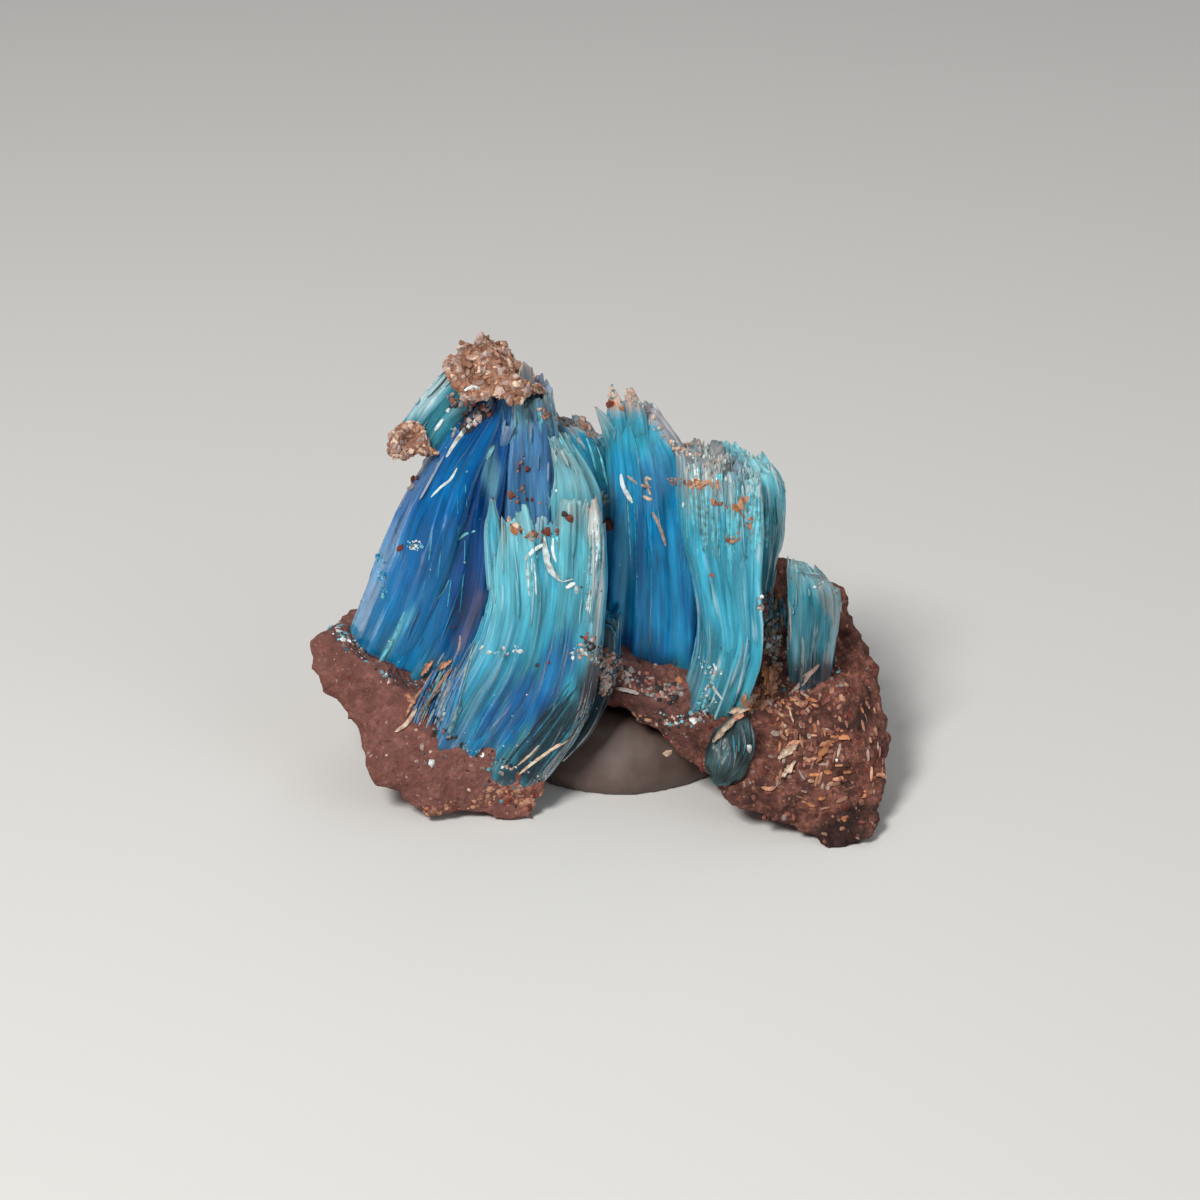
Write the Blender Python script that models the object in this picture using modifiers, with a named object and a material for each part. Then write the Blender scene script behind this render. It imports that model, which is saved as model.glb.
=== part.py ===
"""Chalcanthite specimen, about 33 mm wide, 22 mm deep and 26 mm tall.

Curved bundles of blue fibrous crystal stand on a broken piece of red-brown host rock, which still carries
a small crystal and a teal chip on its right-hand slope. Crumbly crusts of the vein's upper wall are left on
the tips at the top left. A squat pad of grey putty holds the specimen up between the rock's two lobes.

The origin is the centre of the pad's flat underside. +Z is up, and the side to look at faces -Y.
Lengths are in millimetres in the tables and functions here, and MM turns them into Blender's metres.
"""

import math
import random
from dataclasses import dataclass

import bmesh
import bpy
from mathutils import Euler, Matrix, Vector, noise

MM = 0.001

# Driving dimensions.
CLEARANCE = 0.3  # gap between pieces that touch
PAD_RADIUS = 7.6
PAD_HEIGHT = 4.4
ROCK_GRAIN = 0.6  # size of the cells that the rock's blocks are fused with
SEAT_GRAIN = 0.72  # the same for the seats that the other pieces have on the rock
ROCK_FACES_KEPT = 0.24
SECTION_POINTS = 12  # corners of a bundle's section: every other one is a groove
RING_SPACING = 3.2  # between a bundle's sections, along its fibres
RIDGE_DEPTH = 0.16  # share of a bundle's half width that its grooves cut in
TIP_JAG = 0.5  # how far a bundle's corners stop short of its tip or pass it
SEED = 11


@dataclass(frozen=True)
class Bundle:
    """A bundle of fibres: the middle line of its broad face from foot to tip, and its size along that line."""

    name: str
    path: tuple
    widths: tuple
    foot_depth: float
    tip_depth: float
    yaw: float = 0.0  # degrees that its broad face turns from -Y towards +X
    slant: float = 0.0  # how far its tip falls from the side of -X to the side of +X


FRONT_BUNDLES = (
    Bundle(
        "outer_left_blade",
        (
            (-14.0, -4.7, 7.4),
            (-12.9, -4.8, 10.0),
            (-11.5, -4.8, 13.4),
            (-10.4, -4.5, 16.3),
            (-9.2, -3.9, 18.9),
            (-7.5, -3.0, 21.6),
            (-6.8, -2.4, 23.0),
        ),
        (4.8, 4.9, 4.9, 4.5, 3.5, 2.2, 1.4),
        4.4,
        2.4,
        yaw=-18.0,
    ),
    Bundle(
        "inner_left_blade",
        (
            (-10.9, -5.3, 5.6),
            (-9.7, -5.0, 8.0),
            (-8.5, -4.5, 11.5),
            (-7.9, -4.2, 14.9),
            (-7.2, -3.8, 18.2),
            (-6.3, -2.8, 22.8),
        ),
        (3.8, 3.5, 3.3, 2.9, 2.5, 1.9),
        4.5,
        3.0,
    ),
    Bundle(
        "frosted_blade",
        (
            (-5.2, -4.8, 10.0),
            (-5.0, -4.7, 14.0),
            (-5.0, -4.3, 17.4),
            (-5.0, -3.7, 20.1),
            (-5.2, -2.6, 22.9),
        ),
        (3.2, 3.4, 3.6, 3.2, 2.6),
        5.0,
        3.2,
    ),
    Bundle(
        "centre_bundle_left",
        (
            (-9.8, -9.2, 2.6),
            (-9.0, -9.4, 4.2),
            (-7.7, -9.2, 6.6),
            (-6.2, -9.1, 9.6),
            (-5.6, -9.0, 12.7),
            (-5.7, -8.5, 15.7),
            (-5.9, -7.8, 18.2),
        ),
        (3.2, 3.5, 3.8, 3.8, 3.7, 3.5, 2.6),
        5.2,
        5.2,
    ),
    Bundle(
        "centre_bundle_right",
        (
            (-6.5, -9.5, 1.6),
            (-5.7, -9.6, 3.0),
            (-3.9, -9.3, 6.0),
            (-2.9, -8.9, 9.2),
            (-2.5, -8.7, 12.5),
            (-2.4, -8.3, 15.8),
            (-2.3, -7.6, 18.9),
        ),
        (3.6, 4.1, 4.2, 3.6, 3.3, 3.3, 2.9),
        2.8,
        5.6,
    ),
    Bundle(
        "hanging_fibres",
        (
            (-3.7, -8.3, 3.3),
            (-2.3, -7.9, 5.0),
            (-1.2, -6.9, 7.6),
            (-0.9, -6.4, 10.5),
        ),
        (2.0, 2.2, 2.2, 1.8),
        2.2,
        3.4,
    ),
    Bundle(
        "tongue",
        (
            (-2.5, -7.0, 16.8),
            (-2.6, -6.8, 18.6),
            (-2.9, -6.2, 20.0),
            (-3.5, -5.5, 21.3),
        ),
        (2.8, 2.7, 1.9, 1.0),
        2.2,
        1.2,
    ),
    Bundle(
        "rear_blade",
        (
            (-1.7, -3.2, 9.0),
            (-1.6, -2.6, 13.9),
            (-1.8, -2.2, 17.1),
            (-2.5, -1.6, 19.2),
            (-3.1, -1.0, 20.6),
        ),
        (3.6, 4.2, 4.4, 4.0, 3.4),
        5.0,
        3.0,
        slant=2.6,
    ),
    Bundle(
        "peak_spike",
        (
            (-0.5, -3.2, 15.0),
            (-0.7, -2.9, 18.6),
            (-1.2, -2.4, 21.6),
        ),
        (1.6, 1.3, 0.5),
        3.0,
        1.4,
    ),
    Bundle(
        "peak_left",
        (
            (0.0, -4.3, 5.6),
            (0.3, -4.5, 11.5),
            (0.5, -4.1, 15.0),
            (0.4, -3.6, 17.8),
            (0.1, -2.8, 20.2),
            (-0.3, -1.8, 22.6),
        ),
        (2.9, 2.7, 2.5, 2.3, 2.0, 0.9),
        5.0,
        2.0,
    ),
    Bundle(
        "peak_right",
        (
            (2.7, -4.6, 4.4),
            (2.9, -4.8, 10.5),
            (2.7, -4.4, 14.2),
            (2.4, -3.7, 17.0),
            (2.1, -2.9, 19.0),
            (1.1, -1.8, 21.6),
        ),
        (3.9, 3.9, 3.4, 3.2, 2.9, 1.4),
        5.0,
        2.2,
    ),
    Bundle(
        "ridge_bundle",
        (
            (4.2, -4.6, 7.0),
            (4.0, -4.2, 13.0),
            (3.7, -3.3, 16.4),
            (3.5, -2.6, 19.0),
        ),
        (3.2, 3.2, 3.2, 2.6),
        5.0,
        3.0,
    ),
    Bundle(
        "right_bundle_left",
        (
            (4.3, -7.2, 3.8),
            (5.3, -8.0, 7.6),
            (5.6, -7.8, 10.2),
            (5.3, -7.2, 13.2),
            (4.8, -6.5, 16.6),
            (4.5, -4.6, 20.2),
        ),
        (2.3, 2.6, 2.7, 2.8, 3.1, 2.9),
        5.0,
        4.0,
    ),
    Bundle(
        "right_bundle_right",
        (
            (5.7, -7.6, 3.8),
            (6.9, -8.3, 8.1),
            (7.3, -7.9, 10.3),
            (7.1, -7.3, 13.3),
            (7.0, -6.6, 16.4),
            (6.7, -4.8, 19.4),
        ),
        (2.3, 2.5, 2.1, 2.2, 2.7, 2.7),
        5.0,
        4.0,
        yaw=12.0,
    ),
    Bundle(
        "right_rear_bundle",
        (
            (7.7, -3.6, 6.4),
            (7.9, -3.5, 11.4),
            (8.2, -3.0, 14.2),
            (8.1, -2.5, 16.6),
            (7.5, -1.6, 18.6),
        ),
        (2.5, 2.9, 3.3, 3.3, 2.6),
        4.5,
        3.0,
        yaw=15.0,
        slant=1.6,
    ),
    Bundle(
        "upper_left_slab",
        (
            (-11.0, -2.6, 19.9),
            (-9.5, -2.4, 21.8),
            (-7.9, -2.1, 23.8),
        ),
        (2.7, 2.9, 2.8),
        2.6,
        2.2,
    ),
)

BACK_BUNDLES = (
    Bundle(
        "back_left",
        (
            (-11.2, 1.6, 5.2),
            (-10.0, 2.4, 10.0),
            (-8.9, 2.2, 15.0),
            (-8.0, 1.4, 18.6),
            (-7.0, 0.5, 21.6),
        ),
        (4.6, 4.9, 4.6, 4.0, 2.8),
        6.0,
        4.0,
        yaw=-155.0,
    ),
    Bundle(
        "back_centre",
        (
            (-4.9, 3.4, 5.8),
            (-4.6, 3.9, 11.0),
            (-4.6, 3.1, 14.6),
            (-4.5, 1.8, 18.2),
        ),
        (5.2, 5.4, 5.0, 4.0),
        7.0,
        4.0,
        yaw=180.0,
    ),
    Bundle(
        "back_peak",
        (
            (0.9, 3.6, 6.2),
            (1.0, 4.2, 11.0),
            (0.9, 3.0, 14.2),
            (0.8, 1.8, 17.4),
        ),
        (5.0, 5.2, 4.8, 3.4),
        7.5,
        4.0,
        yaw=178.0,
    ),
    Bundle(
        "back_right",
        (
            (5.6, 2.4, 7.6),
            (6.0, 3.0, 12.0),
            (5.9, 2.2, 14.8),
            (5.4, 1.2, 17.2),
        ),
        (4.4, 4.8, 4.6, 3.6),
        6.5,
        4.0,
        yaw=160.0,
    ),
)

# Corners of the solid heart that the bundles grow round, behind the faces that show.
HEART = (
    (-11.2, -3.6, 6.2),
    (-10.2, 1.8, 6.2),
    (7.6, -2.8, 7.0),
    (7.4, 2.2, 8.4),
    (-4.0, 3.0, 6.4),
    (2.0, 3.2, 6.4),
    (-8.6, -2.9, 18.6),
    (-7.6, 0.4, 19.0),
    (-4.0, 0.6, 18.4),
    (1.6, 0.4, 17.4),
    (6.2, 0.0, 16.4),
    (7.0, -2.2, 16.4),
    (4.0, -3.4, 17.0),
    (-4.0, -3.0, 18.6),
)

SIDE_CRYSTAL = Bundle(
    "side_crystal",
    (
        (11.0, -5.4, 4.8),
        (11.1, -6.0, 8.6),
        (11.1, -5.9, 11.4),
        (10.9, -5.5, 13.0),
    ),
    (2.7, 2.9, 3.0, 2.7),
    2.6,
    1.8,
    yaw=10.0,
    slant=2.4,
)

# Corners of the rock's fused blocks. Each block is the hull of its corners.
ROCK_BLOCKS = {
    "left_lobe": (
        (-18.7, -5.0, 7.9),
        (-17.4, -3.4, 8.9),
        (-15.0, -5.2, 8.2),
        (-12.6, -6.6, 6.5),
        (-9.0, -8.9, 4.4),
        (-4.4, -9.5, 2.8),
        (-16.8, -6.2, 6.3),
        (-15.2, -7.2, 4.8),
        (-13.8, -8.6, 2.8),
        (-12.2, -9.9, 1.2),
        (-10.4, -10.4, 0.4),
        (-7.6, -10.6, -0.4),
        (-5.0, -10.4, -0.4),
        (-3.5, -9.9, 1.6),
        (-5.2, -7.6, -0.2),
        (-16.4, -0.8, 8.0),
        (-13.8, 2.6, 7.4),
        (-10.2, 4.4, 6.6),
        (-7.4, 4.2, 5.6),
        (-4.6, -3.0, 4.6),
        (-8.8, -2.2, 2.6),
        (-12.0, 1.6, 3.8),
        (-14.4, -2.4, 4.4),
    ),
    "right_wedge": (
        (5.6, -10.9, 2.2),
        (7.3, -11.5, 1.7),
        (9.4, -12.8, 0.6),
        (11.0, -13.6, -0.3),
        (12.8, -13.4, -0.4),
        (14.7, -12.0, 0.9),
        (15.5, -9.0, 2.4),
        (15.1, -6.0, 4.3),
        (14.6, -3.0, 6.4),
        (13.8, -1.0, 8.1),
        (12.4, 0.2, 9.6),
        (10.3, 0.6, 11.1),
        (8.8, 0.6, 11.6),
        (5.2, -5.0, 7.0),
        (4.4, -8.6, 4.2),
        (7.6, 3.6, 9.4),
        (11.6, 3.0, 7.2),
        (13.6, -1.0, 3.4),
        (12.8, -8.4, -0.3),
        (8.6, 2.6, 3.6),
        (6.6, -7.0, 1.6),
    ),
    "front_ledge": (
        (-1.7, -4.8, 7.7),
        (-0.7, -5.7, 4.9),
        (1.7, -6.9, 3.5),
        (4.6, -8.9, 2.2),
        (1.6, -6.8, 5.8),
        (4.2, -8.6, 5.0),
        (-1.6, -1.5, 8.0),
        (4.0, -1.5, 7.8),
        (6.6, -6.0, 6.4),
        (6.2, -3.0, 2.8),
        (-0.4, -2.4, 4.4),
        (6.4, -9.8, 2.6),
    ),
    "bridge": (
        (-9.0, -5.2, 5.0),
        (-8.4, 3.6, 4.9),
        (-3.4, -5.0, 4.2),
        (4.6, -4.6, 3.9),
        (8.2, -1.0, 3.7),
        (8.4, 4.4, 4.6),
        (0.6, 5.4, 4.4),
        (-5.4, 5.0, 4.3),
        (-9.4, -1.0, 7.2),
        (-6.6, 4.0, 8.2),
        (-0.4, 4.9, 7.4),
        (8.6, 4.2, 9.2),
        (9.2, 1.0, 9.4),
        (-3.0, -4.8, 7.2),
    ),
}

COLOURS = {
    "host_rock": (0.225, 0.092, 0.072),
    "main_crystals": (0.030, 0.260, 0.480),
    "side_crystal": (0.045, 0.190, 0.250),
    "teal_chip": (0.060, 0.130, 0.135),
    "top_crust": (0.420, 0.235, 0.170),
    "left_crust": (0.370, 0.205, 0.160),
    "putty_pad": (0.300, 0.250, 0.220),
}
ROUGHNESS = {
    "host_rock": 0.9,
    "main_crystals": 0.3,
    "side_crystal": 0.35,
    "teal_chip": 0.35,
    "top_crust": 0.85,
    "left_crust": 0.85,
    "putty_pad": 0.7,
}


def clear_scene():
    """Removes what the scene holds when the script starts."""
    for obj in list(bpy.data.objects):
        bpy.data.objects.remove(obj)


def new_collection(name, hidden=False):
    """Adds a collection to the scene. A hidden one holds helpers that aren't part of the object."""
    collection = bpy.data.collections.new(name)
    bpy.context.scene.collection.children.link(collection)
    collection.hide_render = hidden
    return collection


def mesh_object(name, bm, collection):
    """Turns a bmesh into an object of triangles that point out, and frees the bmesh."""
    bmesh.ops.triangulate(bm, faces=bm.faces)
    bmesh.ops.recalc_face_normals(bm, faces=bm.faces)
    mesh = bpy.data.meshes.new(name)
    bm.to_mesh(mesh)
    bm.free()
    obj = bpy.data.objects.new(name, mesh)
    collection.objects.link(obj)
    return obj


def helper(obj):
    """Marks an object as a cutter or a guide, which isn't part of the specimen."""
    obj.hide_render = True
    obj.display_type = "WIRE"
    return obj


def applied_copy(source, name, collection):
    """A plain mesh object with the shape that source has once its modifiers are applied."""
    graph = bpy.context.evaluated_depsgraph_get()
    mesh = bpy.data.meshes.new_from_object(source.evaluated_get(graph))
    mesh.name = name
    obj = bpy.data.objects.new(name, mesh)
    collection.objects.link(obj)
    return obj


def paint(obj):
    """Gives an object the material of its own name."""
    material = bpy.data.materials.new(obj.name)
    material.use_nodes = True
    shader = material.node_tree.nodes["Principled BSDF"]
    shader.inputs["Base Color"].default_value = (*COLOURS[obj.name], 1.0)
    shader.inputs["Roughness"].default_value = ROUGHNESS[obj.name]
    shader.inputs["Metallic"].default_value = 0.0
    obj.data.materials.clear()
    obj.data.materials.append(material)


def roughen(obj, cell, amount, seed):
    """Moves each vertex along its normal by smooth noise with lumps of about the size of cell."""
    shift = Vector((seed * 3.1, seed * 1.7, seed * 2.3))
    moves = [
        noise.noise(v.co / (cell * MM) + shift) * amount * MM * v.normal
        for v in obj.data.vertices
    ]
    for vertex, move in zip(obj.data.vertices, moves):
        vertex.co += move
    obj.data.update()


def boolean(obj, operation, collection):
    """Joins obj with, or cuts it by, all the helpers in a collection."""
    modifier = obj.modifiers.new(f"{operation.lower()}_{collection.name}", "BOOLEAN")
    modifier.operation = operation
    modifier.solver = "EXACT"
    modifier.operand_type = "COLLECTION"
    modifier.collection = collection


def spline_point(points, at):
    """The point at a share from 0 to 1 of a smooth curve through points (Catmull-Rom)."""
    last = len(points) - 1
    span = min(int(at * last), last - 1)
    t = at * last - span
    before = points[max(span - 1, 0)]
    start = points[span]
    end = points[span + 1]
    after = points[min(span + 2, last)]
    return 0.5 * (
        2 * start
        + (end - before) * t
        + (2 * before - 5 * start + 4 * end - after) * t**2
        + (3 * start - before - 3 * end + after) * t**3
    )


def ring_of(bundle, at, depth, reach):
    """One ridged section of a bundle, at a share of its path, as points in millimetres.

    It is a rounded oblong whose corners are ridges and grooves by turns. Its broad face lies on the path,
    and the rest of it lies behind. reach holds each corner's own size, the same all along the bundle.
    """
    path = [Vector(p) for p in bundle.path]
    step = 0.02
    centre = spline_point(path, at)
    along = (spline_point(path, min(at + step, 1.0)) - spline_point(path, max(at - step, 0.0))).normalized()
    turn = math.radians(bundle.yaw)
    facing = Vector((math.sin(turn), -math.cos(turn), 0.0))
    across = along.cross(facing).normalized()
    outward = across.cross(along).normalized()
    width = spline_point([Vector((w, 0.0, 0.0)) for w in bundle.widths], at).x
    middle = centre - outward * depth / 2
    squareness = 0.75
    ring = []
    for i, size in enumerate(reach):
        angle = 2 * math.pi * i / len(reach)
        sideways = math.copysign(abs(math.cos(angle)) ** squareness, math.cos(angle))
        forward = math.copysign(abs(math.sin(angle)) ** squareness, math.sin(angle))
        ring.append(middle + size * (across * sideways * width / 2 + outward * forward * depth / 2))
    return ring, along


def bundle_solid(bundle, collection, seed):
    """A bundle of fibres as one closed loft between its sections, with a jagged tip."""
    dice = random.Random(seed)
    reach = [
        1.0 - (RIDGE_DEPTH if i % 2 else 0.0) * dice.uniform(0.5, 1.4)
        for i in range(SECTION_POINTS)
    ]
    jags = [dice.uniform(-TIP_JAG, TIP_JAG) for _ in range(SECTION_POINTS)]
    length = sum((Vector(b) - Vector(a)).length for a, b in zip(bundle.path, bundle.path[1:]))
    count = max(4, round(length / RING_SPACING) + 1)
    bm = bmesh.new()
    loops = []
    for k in range(count):
        at = k / (count - 1)
        depth = bundle.foot_depth + (bundle.tip_depth - bundle.foot_depth) * at
        ring, along = ring_of(bundle, at, depth, reach)
        if k == count - 1:
            falls = [bundle.slant * math.cos(2 * math.pi * i / SECTION_POINTS) for i in range(SECTION_POINTS)]
            ring = [p + along * (jag - fall / 2) for p, jag, fall in zip(ring, jags, falls)]
        loops.append([bm.verts.new(p * MM) for p in ring])
    for lower, upper in zip(loops, loops[1:]):
        for i in range(SECTION_POINTS):
            j = (i + 1) % SECTION_POINTS
            bm.faces.new((lower[i], lower[j], upper[j], upper[i]))
    for loop in (loops[0], loops[-1]):
        hub = bm.verts.new(sum((v.co for v in loop), Vector()) / SECTION_POINTS)
        for i in range(SECTION_POINTS):
            bm.faces.new((loop[i], loop[(i + 1) % SECTION_POINTS], hub))
    return mesh_object(bundle.name, bm, collection)


def hull_solid(name, corners, collection):
    """The smallest solid without hollows that holds all the corners."""
    bm = bmesh.new()
    verts = [bm.verts.new(Vector(p) * MM) for p in corners]
    hull = bmesh.ops.convex_hull(bm, input=verts)
    inner = {e for e in hull["geom_interior"] if isinstance(e, bmesh.types.BMVert)}
    bmesh.ops.delete(bm, geom=list(inner), context="VERTS")
    return mesh_object(name, bm, collection)


def floor_box(collection):
    """A block whose top is the surface that the specimen stands on, for cutting flats there."""
    side = 60.0
    bm = bmesh.new()
    bmesh.ops.create_cube(bm, size=side * MM)
    bmesh.ops.translate(bm, verts=bm.verts, vec=(0.0, 0.0, -side * MM / 2))
    return helper(mesh_object("floor_cutter", bm, collection))


def make_rock(collection, helpers, floor):
    """The host rock: blocks with broken faces fused into one lump, roughened, and flat where it stands."""
    bm = bmesh.new()
    for corners in ROCK_BLOCKS.values():
        verts = [bm.verts.new(Vector(p) * MM) for p in corners]
        hull = bmesh.ops.convex_hull(bm, input=verts)
        inner = {e for e in hull["geom_interior"] if isinstance(e, bmesh.types.BMVert)}
        bmesh.ops.delete(bm, geom=list(inner), context="VERTS")
    blocks = helper(mesh_object("rock_blocks", bm, helpers))
    fuse = blocks.modifiers.new("fuse", "REMESH")
    fuse.mode = "VOXEL"
    fuse.voxel_size = ROCK_GRAIN * MM
    rock = applied_copy(blocks, "host_rock", collection)
    roughen(rock, cell=5.0, amount=0.9, seed=SEED)
    roughen(rock, cell=1.9, amount=0.55, seed=SEED + 1)
    thin = rock.modifiers.new("broken_faces", "DECIMATE")
    thin.ratio = ROCK_FACES_KEPT
    boolean(rock, "DIFFERENCE", floor)
    return rock


def clearance_of(source, collection):
    """A cutter that is source grown by the clearance and fused again, so that what it cuts keeps a gap."""
    cutter = helper(applied_copy(source, f"{source.name}_clearance", collection))
    bm = bmesh.new()
    bm.from_mesh(cutter.data)
    bmesh.ops.remove_doubles(bm, verts=bm.verts, dist=0.01 * MM)
    bmesh.ops.triangulate(bm, faces=bm.faces)
    bm.to_mesh(cutter.data)
    bm.free()
    grow = cutter.modifiers.new("grow", "DISPLACE")
    grow.mid_level = 0.0
    grow.strength = CLEARANCE * 1.5 * MM
    fuse = cutter.modifiers.new("fuse", "REMESH")
    fuse.mode = "VOXEL"
    fuse.voxel_size = SEAT_GRAIN * MM
    split = cutter.modifiers.new("flat_faces", "TRIANGULATE")
    split.quad_method = "BEAUTY"
    return cutter


def make_crust(name, collection, centre, half_sizes, tilt, seed):
    """A crumbly lump left from the vein's upper wall: a flattened ball with lumps and pits."""
    bm = bmesh.new()
    bmesh.ops.create_icosphere(bm, subdivisions=3, radius=1.0)
    shape = (
        Matrix.Translation(Vector(centre) * MM)
        @ Euler(tilt).to_matrix().to_4x4()
        @ Matrix.Diagonal((*(Vector(half_sizes) * MM), 1.0))
    )
    bmesh.ops.transform(bm, matrix=shape, verts=bm.verts)
    crust = mesh_object(name, bm, collection)
    roughen(crust, cell=1.8, amount=1.2, seed=seed)
    roughen(crust, cell=0.8, amount=0.7, seed=seed + 1)
    thin = crust.modifiers.new("crumbs", "DECIMATE")
    thin.ratio = 0.45
    return crust


def make_chip(collection):
    """The teal crystal chip that lies on the rock's right-hand slope: a small flattened splinter."""
    bm = bmesh.new()
    bmesh.ops.create_icosphere(bm, subdivisions=2, radius=1.0)
    shape = (
        Matrix.Translation(Vector((6.1, -9.7, 4.4)) * MM)
        @ Euler((math.radians(-40.0), math.radians(26.0), 0.0)).to_matrix().to_4x4()
        @ Matrix.Diagonal((1.3 * MM, 0.9 * MM, 2.0 * MM, 1.0))
    )
    bmesh.ops.transform(bm, matrix=shape, verts=bm.verts)
    chip = mesh_object("teal_chip", bm, collection)
    roughen(chip, cell=1.2, amount=0.35, seed=SEED + 7)
    return chip


def make_pad(collection):
    """The putty pad: a turned profile with a flat underside and a soft rim."""
    profile = (
        (0.0, PAD_HEIGHT),
        (3.4, PAD_HEIGHT * 0.98),
        (5.6, PAD_HEIGHT * 0.80),
        (6.9, PAD_HEIGHT * 0.52),
        (PAD_RADIUS, PAD_HEIGHT * 0.22),
        (PAD_RADIUS - 0.2, 0.0),
        (0.0, 0.0),
    )
    bm = bmesh.new()
    verts = [bm.verts.new(Vector((x, 0.0, z)) * MM) for x, z in profile]
    for a, b in zip(verts, verts[1:]):
        bm.edges.new((a, b))
    mesh = bpy.data.meshes.new("putty_pad")
    bm.to_mesh(mesh)
    bm.free()
    pad = bpy.data.objects.new("putty_pad", mesh)
    collection.objects.link(pad)
    turn = pad.modifiers.new("turn", "SCREW")
    turn.steps = 24
    turn.render_steps = 24
    turn.use_merge_vertices = True
    turn.merge_threshold = 0.01 * MM
    return pad


def main():
    """Builds the specimen."""
    clear_scene()
    specimen = new_collection("chalcanthite_specimen")
    guides = new_collection("guides", hidden=True)
    floor = new_collection("floor", hidden=True)
    growth = new_collection("growth", hidden=True)
    rock_room = new_collection("rock_room", hidden=True)
    crust_room = new_collection("crust_room", hidden=True)

    floor_box(floor)
    rock = make_rock(specimen, guides, floor)
    clearance_of(rock, rock_room)

    top_crust = make_crust(
        "top_crust", specimen, (-6.9, -1.7, 23.6), (2.9, 2.5, 1.25), (0.0, math.radians(20.0), 0.0), SEED + 3
    )
    left_crust = make_crust(
        "left_crust", specimen, (-11.8, -2.9, 20.1), (1.75, 1.2, 0.8), (0.0, math.radians(22.0), 0.0), SEED + 5
    )
    clearance_of(top_crust, crust_room)
    clearance_of(left_crust, crust_room)

    first, *others = FRONT_BUNDLES + BACK_BUNDLES
    crystals = bundle_solid(first, specimen, SEED)
    crystals.name = "main_crystals"
    for number, bundle in enumerate(others, start=1):
        helper(bundle_solid(bundle, growth, SEED + number))
    helper(hull_solid("heart", HEART, growth))
    boolean(crystals, "UNION", growth)
    boolean(crystals, "DIFFERENCE", rock_room)
    boolean(crystals, "DIFFERENCE", crust_room)

    side = bundle_solid(SIDE_CRYSTAL, specimen, SEED + 40)
    boolean(side, "DIFFERENCE", rock_room)
    chip = make_chip(specimen)
    boolean(chip, "DIFFERENCE", rock_room)
    pad = make_pad(specimen)
    boolean(pad, "DIFFERENCE", rock_room)

    for obj in (rock, crystals, side, chip, top_crust, left_crust, pad):
        paint(obj)


main()
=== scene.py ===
"""Looks of the chalcanthite specimen: fibrous blue crystals, granular host rock, crumbly crusts and putty.

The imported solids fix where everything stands. Each visible surface is worked out here as arrays of points:
a bundle of fibres is a section carried along its curved path, with one small rib for each fibre; blades,
splinters and curls are thin strips that follow the bundles; grains are small faceted lumps. Lengths are in
millimetres in the tables and functions, and MM turns them into metres where a mesh is made.
"""

import logging
import math
import random
from dataclasses import dataclass, field
from enum import Enum

import bmesh
import bpy
import numpy as np
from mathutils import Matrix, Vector
from mathutils.bvhtree import BVHTree


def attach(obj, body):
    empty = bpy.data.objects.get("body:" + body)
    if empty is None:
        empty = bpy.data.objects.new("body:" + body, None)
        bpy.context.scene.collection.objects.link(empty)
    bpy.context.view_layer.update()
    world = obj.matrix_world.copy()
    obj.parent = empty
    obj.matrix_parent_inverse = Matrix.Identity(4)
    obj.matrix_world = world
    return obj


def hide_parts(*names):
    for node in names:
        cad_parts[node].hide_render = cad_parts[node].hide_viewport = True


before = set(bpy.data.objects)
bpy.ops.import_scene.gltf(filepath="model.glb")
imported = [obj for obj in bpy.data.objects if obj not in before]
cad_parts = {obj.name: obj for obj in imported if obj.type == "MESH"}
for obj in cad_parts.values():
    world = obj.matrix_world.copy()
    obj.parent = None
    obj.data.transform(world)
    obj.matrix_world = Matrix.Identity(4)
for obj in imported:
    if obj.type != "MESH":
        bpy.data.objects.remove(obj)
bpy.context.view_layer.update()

LOG = logging.getLogger("chalcanthite")
MM = 0.001
PIXELS_PER_MM = 18.3
BODY = "root"
SEED = 11
SECTION_CORNERS = 12
RIDGE_DEPTH = 0.16
TIP_JAG = 0.5
SQUARENESS = 0.75
CAP_RINGS = (0.88, 0.72, 0.54, 0.36, 0.18)

Colour = tuple[float, float, float]


class Shade(Enum):
    """Linear colours of the crystals and of what is on them."""

    DEEP = (0.0005, 0.085, 0.330)
    BLUE = (0.001, 0.140, 0.440)
    AZURE = (0.001, 0.340, 0.720)
    SKY = (0.004, 0.260, 0.560)
    VIOLET = (0.075, 0.220, 0.440)
    CYAN = (0.045, 0.400, 0.580)
    PALE = (0.160, 0.560, 0.660)
    SEA = (0.035, 0.280, 0.370)
    TEAL = (0.022, 0.190, 0.260)
    DARK_TEAL = (0.010, 0.048, 0.074)
    INK = (0.006, 0.028, 0.042)
    MIST = (0.150, 0.370, 0.430)
    WHITE = (0.780, 0.860, 0.860)
    TAN = (0.480, 0.260, 0.165)
    CLAY = (0.360, 0.170, 0.110)
    PINK_TAN = (0.480, 0.350, 0.310)
    RUST = (0.170, 0.035, 0.022)
    ORANGE = (0.540, 0.210, 0.085)
    PEACH = (0.660, 0.310, 0.190)
    CREAM = (0.700, 0.520, 0.400)
    BRICK = (0.300, 0.105, 0.075)
    SOOT = (0.035, 0.028, 0.030)
    GREY = (0.300, 0.280, 0.270)
    DUSK = (0.420, 0.400, 0.420)
    NIGHT = (0.160, 0.170, 0.190)

    @property
    def rgb(self) -> np.ndarray:
        """The colour as an array."""
        return np.array(self.value)


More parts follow.
